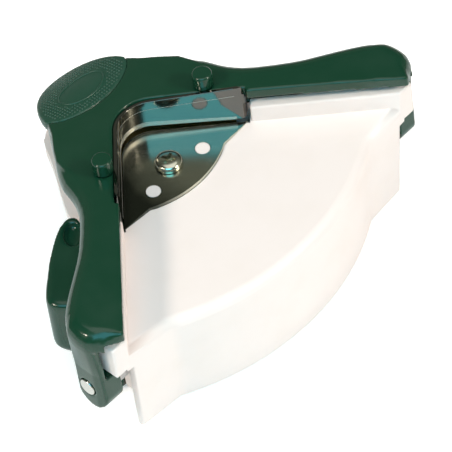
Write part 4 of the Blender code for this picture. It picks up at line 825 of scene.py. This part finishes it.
flange_mesh = screw_mesh(FLANGE_HEAD_RADIUS, FLANGE_HEAD_HEIGHT, FLANGE_SHANK_RADIUS, FLANGE_SHANK_LENGTH,
                         HIDDEN_DOME_SHARE, HIDDEN_STEPS)
for index, word in enumerate(("left", "right")):
    put_screw("post_screw_" + word, "flange_screw_" + word, FASTENER_STEEL, "lever", "fastener_steel",
              flange_mesh, low_head=True, turn=FLANGE_TURN_STEP * index)
print("hidden screw faces", len(base_mesh.polygons), len(flange_mesh.polygons))

# %% [markdown]
# ## Return springs
# Each spring is one wire whose end turns lie closer than the rest, as on a real compression spring. The
# coil follows a rule, so Geometry Nodes make it: a spiral line is given a round section, and its rise is
# eased toward both ends. It stays on the body's peg, because a coil can't follow the lever rigidly.

# %% Coil tree
END_TURNS_SHARE = 0.10
EASED_RISE_SHARE = 0.35
WIRE_SIDES = 12
coil_tree, coil_in, coil_out = new_group(
    "wound_coil", "GeometryNodeTree",
    [("Geometry", "NodeSocketGeometry", None), ("Turns", FLOAT, 5.0), ("Coil Radius", FLOAT, 0.003),
     ("Wire Radius", FLOAT, 0.0003), ("Height", FLOAT, 0.016), ("Foot", "NodeSocketVector", None),
     ("Points Per Turn", "NodeSocketInt", 28), ("Material", "NodeSocketMaterial", None)],
    [("Geometry", "NodeSocketGeometry")])
spiral = add_node(coil_tree, "GeometryNodeCurveSpiral",
                  {"Resolution": coil_in.outputs["Points Per Turn"], "Rotations": coil_in.outputs["Turns"],
                   "Start Radius": coil_in.outputs["Coil Radius"],
                   "End Radius": coil_in.outputs["Coil Radius"], "Height": 1.0})
along = add_node(coil_tree, "GeometryNodeSplineParameter").outputs["Factor"]
eased = add_node(coil_tree, "ShaderNodeMapRange",
                 {"Value": along, "From Min": END_TURNS_SHARE, "From Max": 1.0 - END_TURNS_SHARE},
                 interpolation_type="SMOOTHSTEP")
blended = add_node(coil_tree, "ShaderNodeMix", {"Factor": EASED_RISE_SHARE}, data_type="FLOAT")
coil_tree.links.new(along, blended.inputs[2])
coil_tree.links.new(eased.outputs["Result"], blended.inputs[3])
rise = math_node(coil_tree, "MULTIPLY", blended.outputs[0], coil_in.outputs["Height"])
spiral_place = add_node(coil_tree, "GeometryNodeInputPosition").outputs["Position"]
flat = vector_node(coil_tree, "MULTIPLY", spiral_place, (1.0, 1.0, 0.0))
lift = add_node(coil_tree, "ShaderNodeCombineXYZ", {"Z": rise})
raised = vector_node(coil_tree, "ADD", flat, lift.outputs["Vector"])
footed = vector_node(coil_tree, "ADD", raised, coil_in.outputs["Foot"])
wound = add_node(coil_tree, "GeometryNodeSetPosition",
                 {"Geometry": spiral.outputs["Curve"], "Position": footed})
section = add_node(coil_tree, "GeometryNodeCurvePrimitiveCircle",
                   {"Resolution": WIRE_SIDES, "Radius": coil_in.outputs["Wire Radius"]})
wire = add_node(coil_tree, "GeometryNodeCurveToMesh",
                {"Curve": wound.outputs["Geometry"], "Profile Curve": section.outputs["Curve"],
                 "Fill Caps": True})
real = add_node(coil_tree, "GeometryNodeRealizeInstances", {"Geometry": wire.outputs["Mesh"]})
painted = add_node(coil_tree, "GeometryNodeSetMaterial",
                   {"Geometry": real.outputs["Geometry"], "Material": coil_in.outputs["Material"]})
coil_tree.links.new(painted.outputs["Geometry"], coil_out.inputs["Geometry"])
print("coil tree nodes:", len(coil_tree.nodes))

# %% Wind the springs
WIRE_RADIUS = 0.35 * MM
SPRING_TURNS = 6.5
for word in ("left", "right"):
    node = "return_spring_" + word
    low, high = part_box(node)
    foot = Vector(((low.x + high.x) / 2, (low.y + high.y) / 2, low.z + WIRE_RADIUS))
    coil = grown("coil_" + word, coil_tree, {
        "Turns": SPRING_TURNS, "Coil Radius": (high.x - low.x) / 2 - WIRE_RADIUS,
        "Wire Radius": WIRE_RADIUS, "Height": high.z - low.z - 2 * WIRE_RADIUS, "Foot": foot,
        "Material": FASTENER_STEEL})
    coil = smooth(coil, degrees=40.0)
    spring = new_piece("spring_coil_" + word, coil, FASTENER_STEEL, "body", "fastener_steel", node)
    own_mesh(spring)
    print(spring.name, "triangles", sum(len(p.vertices) - 2 for p in spring.data.polygons))

# %% [markdown]
# ## The blade's lip, crease and lower edge
# The blade is a strip folded to a V. Its top ends in a fine lip, a faint crease runs along it below the
# lip, and its lower edge is ground. All of them follow the strip, so they are swept along the same V line:
# the lip and the crease as thin wires, the lower edge as bands as thick as the strip. They stand proud of
# its face by less than the hundredths of a millimetre that the blade clears the plate by. The bands also
# reach below the solid's edge at the corner, down to where the real blade ends. The crease's wire is made
# of the brighter ground steel, which paints a highlight line along it.

# %% The V line
CORNER_POINTS = 12
ARM_POINTS = 13
BLADE_END = 33.0 * MM
BLADE_FACE_OUT = 0.05 * MM
BLADE_THICKNESS = 1.0 * MM
PROUD = 0.03 * MM


def v_places(out):
    """Plan places along the whole V, from the left end over the round corner to the right end."""
    radius = PLATE_CORNER_RADIUS + out
    centre_y = out * ROOT_TWO - radius * ROOT_TWO
    half = [(radius * math.cos(a), centre_y + radius * math.sin(a))
            for a in np.linspace(math.pi / 2, math.pi / 4, CORNER_POINTS)]
    bend_x, bend_y = half[-1]
    end_x, end_y = (BLADE_END + out) / ROOT_TWO, (out - BLADE_END) / ROOT_TWO
    for share in np.linspace(0.0, 1.0, ARM_POINTS + 1)[1:]:
        half.append((bend_x + (end_x - bend_x) * share, bend_y + (end_y - bend_y) * share))
    return [(-x, y) for x, y in reversed(half[1:])] + half


print("places along the V:", len(v_places(BLADE_FACE_OUT)))


# %% Lip and crease
BLADE_TOP_FRONT = 14.1 * MM
BLADE_TOP_REAR = 11.6 * MM
BLADE_FRONT_Y = -24.5 * MM
BLADE_REAR_Y = -4.0 * MM
CREASE_DROP = 3.0 * MM
CREASE_RADIUS = 0.15 * MM


def blade_height(y, rear, front):
    """Height between the blade's values at its rear corner and its front ends."""
    return rear + (front - rear) * (y - BLADE_REAR_Y) / (BLADE_FRONT_Y - BLADE_REAR_Y)


def face_line(drop):
    """Middle line of a wire, a drop below the blade's top, that stands barely proud of its face."""
    return [(x, VERTEX_Y + y, TRAY_Z + blade_height(y, BLADE_TOP_REAR, BLADE_TOP_FRONT) - drop)
            for x, y in v_places(BLADE_FACE_OUT - PROUD + CREASE_RADIUS)]


# The crease wire is of the brighter ground steel, so its colour paints a highlight line along the blade.
crease_highlight_mesh = tube_mesh("crease", face_line(CREASE_DROP), CREASE_RADIUS)
new_piece("blade_crease", crease_highlight_mesh, GROUND_STEEL, "lever", "blade_steel")
lip_mesh = tube_mesh("top_lip", face_line(CREASE_RADIUS / 2), CREASE_RADIUS)
new_piece("blade_top_lip", lip_mesh, BLADE_STEEL, "lever", "blade_steel")
print("lip and crease faces", len(lip_mesh.polygons), len(crease_highlight_mesh.polygons))


# %% Band along the V
def band_mesh(name, sections, degrees):
    """Closed band through sections of four corners each, smooth up to an angle."""
    shape = bmesh.new()
    rings = [[shape.verts.new(corner) for corner in section] for section in sections]
    for first, second in zip(rings, rings[1:]):
        for index in range(4):
            following = (index + 1) % 4
            shape.faces.new((first[index], first[following], second[following], second[index]))
    shape.faces.new(rings[0])
    shape.faces.new(list(reversed(rings[-1])))
    bmesh.ops.recalc_face_normals(shape, faces=shape.faces)
    mesh = bpy.data.meshes.new(name)
    shape.to_mesh(mesh)
    shape.free()
    return smooth(mesh, degrees)


# %% Lower face and ground edge
BLADE_EDGE_FRONT = 1.5 * MM
BLADE_EDGE_REAR = 2.3 * MM
LOWER_HEIGHT_REAR = 3.6 * MM
LOWER_HEIGHT_FRONT = 1.2 * MM
GROUND_HEIGHT_REAR = 1.7 * MM
GROUND_HEIGHT_FRONT = 1.0 * MM


def lower_band(name, height_rear, height_front, proud):
    """Band up from the blade's lower edge, as thick as the blade and a hair proud of its faces."""
    near = v_places(BLADE_FACE_OUT - proud)
    deep = v_places(BLADE_FACE_OUT + BLADE_THICKNESS + proud)
    sections = []
    for (x, y), (back_x, back_y) in zip(near, deep):
        foot = TRAY_Z + blade_height(y, BLADE_EDGE_REAR, BLADE_EDGE_FRONT)
        top = foot + blade_height(y, height_rear, height_front)
        face, back = (x, VERTEX_Y + y), (back_x, VERTEX_Y + back_y)
        sections.append([(*back, foot - proud), (*face, foot - proud), (*face, top), (*back, top)])
    return band_mesh(name, sections, degrees=20.0)


lower_face = lower_band("lower_face", LOWER_HEIGHT_REAR, LOWER_HEIGHT_FRONT, PROUD / 2)
new_piece("blade_lower_face", lower_face, BLADE_STEEL, "lever", "blade_steel")
ground_edge = lower_band("ground_edge", GROUND_HEIGHT_REAR, GROUND_HEIGHT_FRONT, PROUD)
new_piece("blade_ground_edge", ground_edge, GROUND_STEEL, "lever", "blade_steel")
print("lower bands' faces", len(lower_face.polygons), len(ground_edge.polygons))

# %% [markdown]
# ## Painted shade behind the blade
# Behind the blade a strip of olive steel stands in the well's outer wall. Its colour paints the shade that
# shows as a dark olive band under the raised blade. It is swept along the V as the ground edge is.

# %% Painted shade strip
SHADE_STRIP_OUT = 6.85 * MM
SHADE_STRIP_THICKNESS = 0.3 * MM
SHADE_STRIP_TOP_DROP = 1.0 * MM
SHADE_STRIP_HEIGHT = 20.0 * MM
SHADE_STRIP_END_SHARE = 0.97
shade_strip_low = TRAY_Z - SHADE_STRIP_HEIGHT
shade_strip_high = TRAY_Z - SHADE_STRIP_TOP_DROP
shade_strip_sections = []
for (x, y), (far_x, far_y) in zip(v_places(SHADE_STRIP_OUT), v_places(SHADE_STRIP_OUT + SHADE_STRIP_THICKNESS)):
    face = (x * SHADE_STRIP_END_SHARE, VERTEX_Y + y)
    wall = (far_x * SHADE_STRIP_END_SHARE, VERTEX_Y + far_y)
    section = [(*face, shade_strip_low), (*face, shade_strip_high), (*wall, shade_strip_high), (*wall, shade_strip_low)]
    shade_strip_sections.append(section)
shade_strip = band_mesh("shade_strip", shade_strip_sections, degrees=30.0)
# The strip's olive colour is painted shade, seen under the raised blade.
new_piece("blade_guide", shade_strip, WELL_SHADE_PAINT, "body", "plate_steel")
print("guide faces", len(shade_strip.polygons))

# %% [markdown]
# ## Floor, light and camera
# The punch stands on a plain white floor, which is a little brighter for the camera than the lamps make
# it. Light Path limits that to the camera's rays, so the floor doesn't light the punch from below.

# %% Floor
FLOOR_REACH = 3.0
FLOOR_LIFT = 0.40
corners = [(-FLOOR_REACH, -FLOOR_REACH, 0.0), (FLOOR_REACH, -FLOOR_REACH, 0.0),
           (FLOOR_REACH, FLOOR_REACH, 0.0), (-FLOOR_REACH, FLOOR_REACH, 0.0)]
floor_mesh = bpy.data.meshes.new("floor")
floor_mesh.from_pydata(corners, [], [(0, 1, 2, 3)])
floor = bpy.data.objects.new("floor", floor_mesh)
bpy.context.scene.collection.objects.link(floor)
floor_paint = bpy.data.materials.new("floor_paint")
floor_paint.use_nodes = True
floor_shader = floor_paint.node_tree.nodes["Principled BSDF"]
floor_shader.inputs["Base Color"].default_value = (0.97, 0.97, 0.97, 1.0)
floor_shader.inputs["Roughness"].default_value = 0.9
floor_shader.inputs["Specular IOR Level"].default_value = 0.0
floor_shader.inputs["Emission Color"].default_value = (1.0, 0.98, 0.96, 1.0)
floor_nodes = floor_paint.node_tree
seen_by = add_node(floor_nodes, "ShaderNodeLightPath")
lift = add_node(floor_nodes, "ShaderNodeMapRange",
                {"Value": seen_by.outputs["Is Camera Ray"], "To Max": FLOOR_LIFT})
floor_nodes.links.new(lift.outputs["Result"], floor_shader.inputs["Emission Strength"])
floor_mesh.materials.append(floor_paint)
print("floor reach m", FLOOR_REACH)

# %% [markdown]
# The world does three jobs, told apart by Light Path. The camera sees it plain white, the punch is lit by
# it as a soft warm fill, and whatever shines mirrors a dim room in it: a very coarse noise with dark and
# light patches stands for the walls, without which polished steel would look like flat grey paint.

# %% World
WORLD_LEVEL = 0.30
ROOM_DARK = (0.055, 0.06, 0.045)
ROOM_LIGHT = (0.20, 0.21, 0.165)
world = bpy.data.worlds.new("studio")
bpy.context.scene.world = world
world.use_nodes = True
sky = world.node_tree
soft_fill = sky.nodes["Background"]
soft_fill.inputs["Color"].default_value = (1.0, 0.985, 0.96, 1.0)
soft_fill.inputs["Strength"].default_value = WORLD_LEVEL
seen_white = add_node(sky, "ShaderNodeBackground", {"Color": (1.0, 1.0, 1.0, 1.0), "Strength": 1.0})
ray = add_node(sky, "ShaderNodeLightPath")
toward = add_node(sky, "ShaderNodeTexCoord")
room = add_node(sky, "ShaderNodeTexNoise",
                {"Vector": toward.outputs["Generated"], "Scale": 1.3, "Detail": 0.0})
room_steps = add_node(sky, "ShaderNodeMapRange",
                      {"Value": room.outputs["Fac"], "From Min": 0.38, "From Max": 0.62})
room_colour = mixed_colour(sky, room_steps.outputs["Result"], ROOM_DARK, ROOM_LIGHT)
mirrored_room = add_node(sky, "ShaderNodeBackground", {"Color": room_colour, "Strength": 1.0})
for_shine = add_node(sky, "ShaderNodeMixShader", {"Fac": ray.outputs["Is Glossy Ray"]})
for_eye = add_node(sky, "ShaderNodeMixShader", {"Fac": ray.outputs["Is Camera Ray"]})
sky.links.new(soft_fill.outputs["Background"], for_shine.inputs[1])
sky.links.new(mirrored_room.outputs["Background"], for_shine.inputs[2])
sky.links.new(for_shine.outputs["Shader"], for_eye.inputs[1])
sky.links.new(seen_white.outputs["Background"], for_eye.inputs[2])
sky.links.new(for_eye.outputs["Shader"], sky.nodes["World Output"].inputs["Surface"])
print("world nodes:", len(sky.nodes))

# %% [markdown]
# Two small warm lamps, one on each side, give the short bright lines on the green. A large one overhead
# fills the tray. A cool one beside the camera gives the steel its blue: the blade and the plate meet at a
# right angle, so they throw the light from the camera's side back at the camera. The right lamp stands
# low, because from higher up the blade's round corner would mirror it.


# %% Lamps
WARM = (1.0, 0.88, 0.76)
NEAR_WHITE = (1.0, 0.97, 0.94)
COOL = (0.19, 0.77, 1.0)


def direction(azimuth, elevation):
    """Unit vector from the object toward a place on the sky; azimuth 0 is the paper's side."""
    a, e = math.radians(azimuth), math.radians(elevation)
    return Vector((math.sin(a) * math.cos(e), -math.cos(a) * math.cos(e), math.sin(e)))


def soft_lamp(name, azimuth, elevation, distance, size, power, colour):
    """Square lamp at a place on the sky, turned to the object; lengths in metres, power in watts."""
    lamp = bpy.data.lights.new(name, "AREA")
    lamp.shape = "SQUARE"
    lamp.size = size
    lamp.energy = power
    lamp.color = colour
    holder = bpy.data.objects.new(name, lamp)
    toward = direction(azimuth, elevation)
    holder.location = toward * distance
    holder.rotation_euler = toward.to_track_quat("Z", "Y").to_euler()
    bpy.context.scene.collection.objects.link(holder)


soft_lamp("warm_right", azimuth=22.0, elevation=36.0, distance=1.1, size=0.20, power=5.8, colour=WARM)
soft_lamp("warm_left", azimuth=-104.0, elevation=44.0, distance=1.1, size=0.20, power=5.4, colour=WARM)
soft_lamp("overhead", azimuth=60.0, elevation=84.0, distance=1.2, size=0.9, power=3.0, colour=NEAR_WHITE)
soft_lamp("cool_card", azimuth=-50.0, elevation=49.0, distance=1.2, size=0.72, power=5.1, colour=COOL)
print("lamps:", len(bpy.data.lights))

# %% [markdown]
# The camera looks down on the punch from its front left. It stands about a metre off with a long lens, so
# that near and far parts keep nearly the same scale, and it is rolled a little, which turns the punch in
# the picture's frame.

# %% Camera
CAMERA_AZIMUTH = -41.41
CAMERA_ELEVATION = 49.26
CAMERA_ROLL = -8.10
CAMERA_DISTANCE = 0.935
CAMERA_TARGET = Vector((-6.88, -26.27, 36.0)) * MM
CAMERA_REACH = 20.0
FOCAL_PIXELS = 3407.4
IMAGE_PIXELS = 452.0
SENSOR = 36.0
back = direction(CAMERA_AZIMUTH, CAMERA_ELEVATION)
camera = bpy.data.objects.new("camera", bpy.data.cameras.new("camera"))
camera.data.sensor_width = SENSOR
camera.data.lens = FOCAL_PIXELS / IMAGE_PIXELS * SENSOR
camera.data.clip_end = CAMERA_REACH
level = back.to_track_quat("Z", "Y").to_matrix().to_4x4()
roll = Matrix.Rotation(math.radians(CAMERA_ROLL), 4, "Z")
camera.matrix_world = Matrix.Translation(CAMERA_TARGET + back * CAMERA_DISTANCE) @ level @ roll
bpy.context.scene.collection.objects.link(camera)
bpy.context.scene.camera = camera
bpy.context.scene.view_settings.view_transform = "Standard"
print("lens mm", round(camera.data.lens, 1))
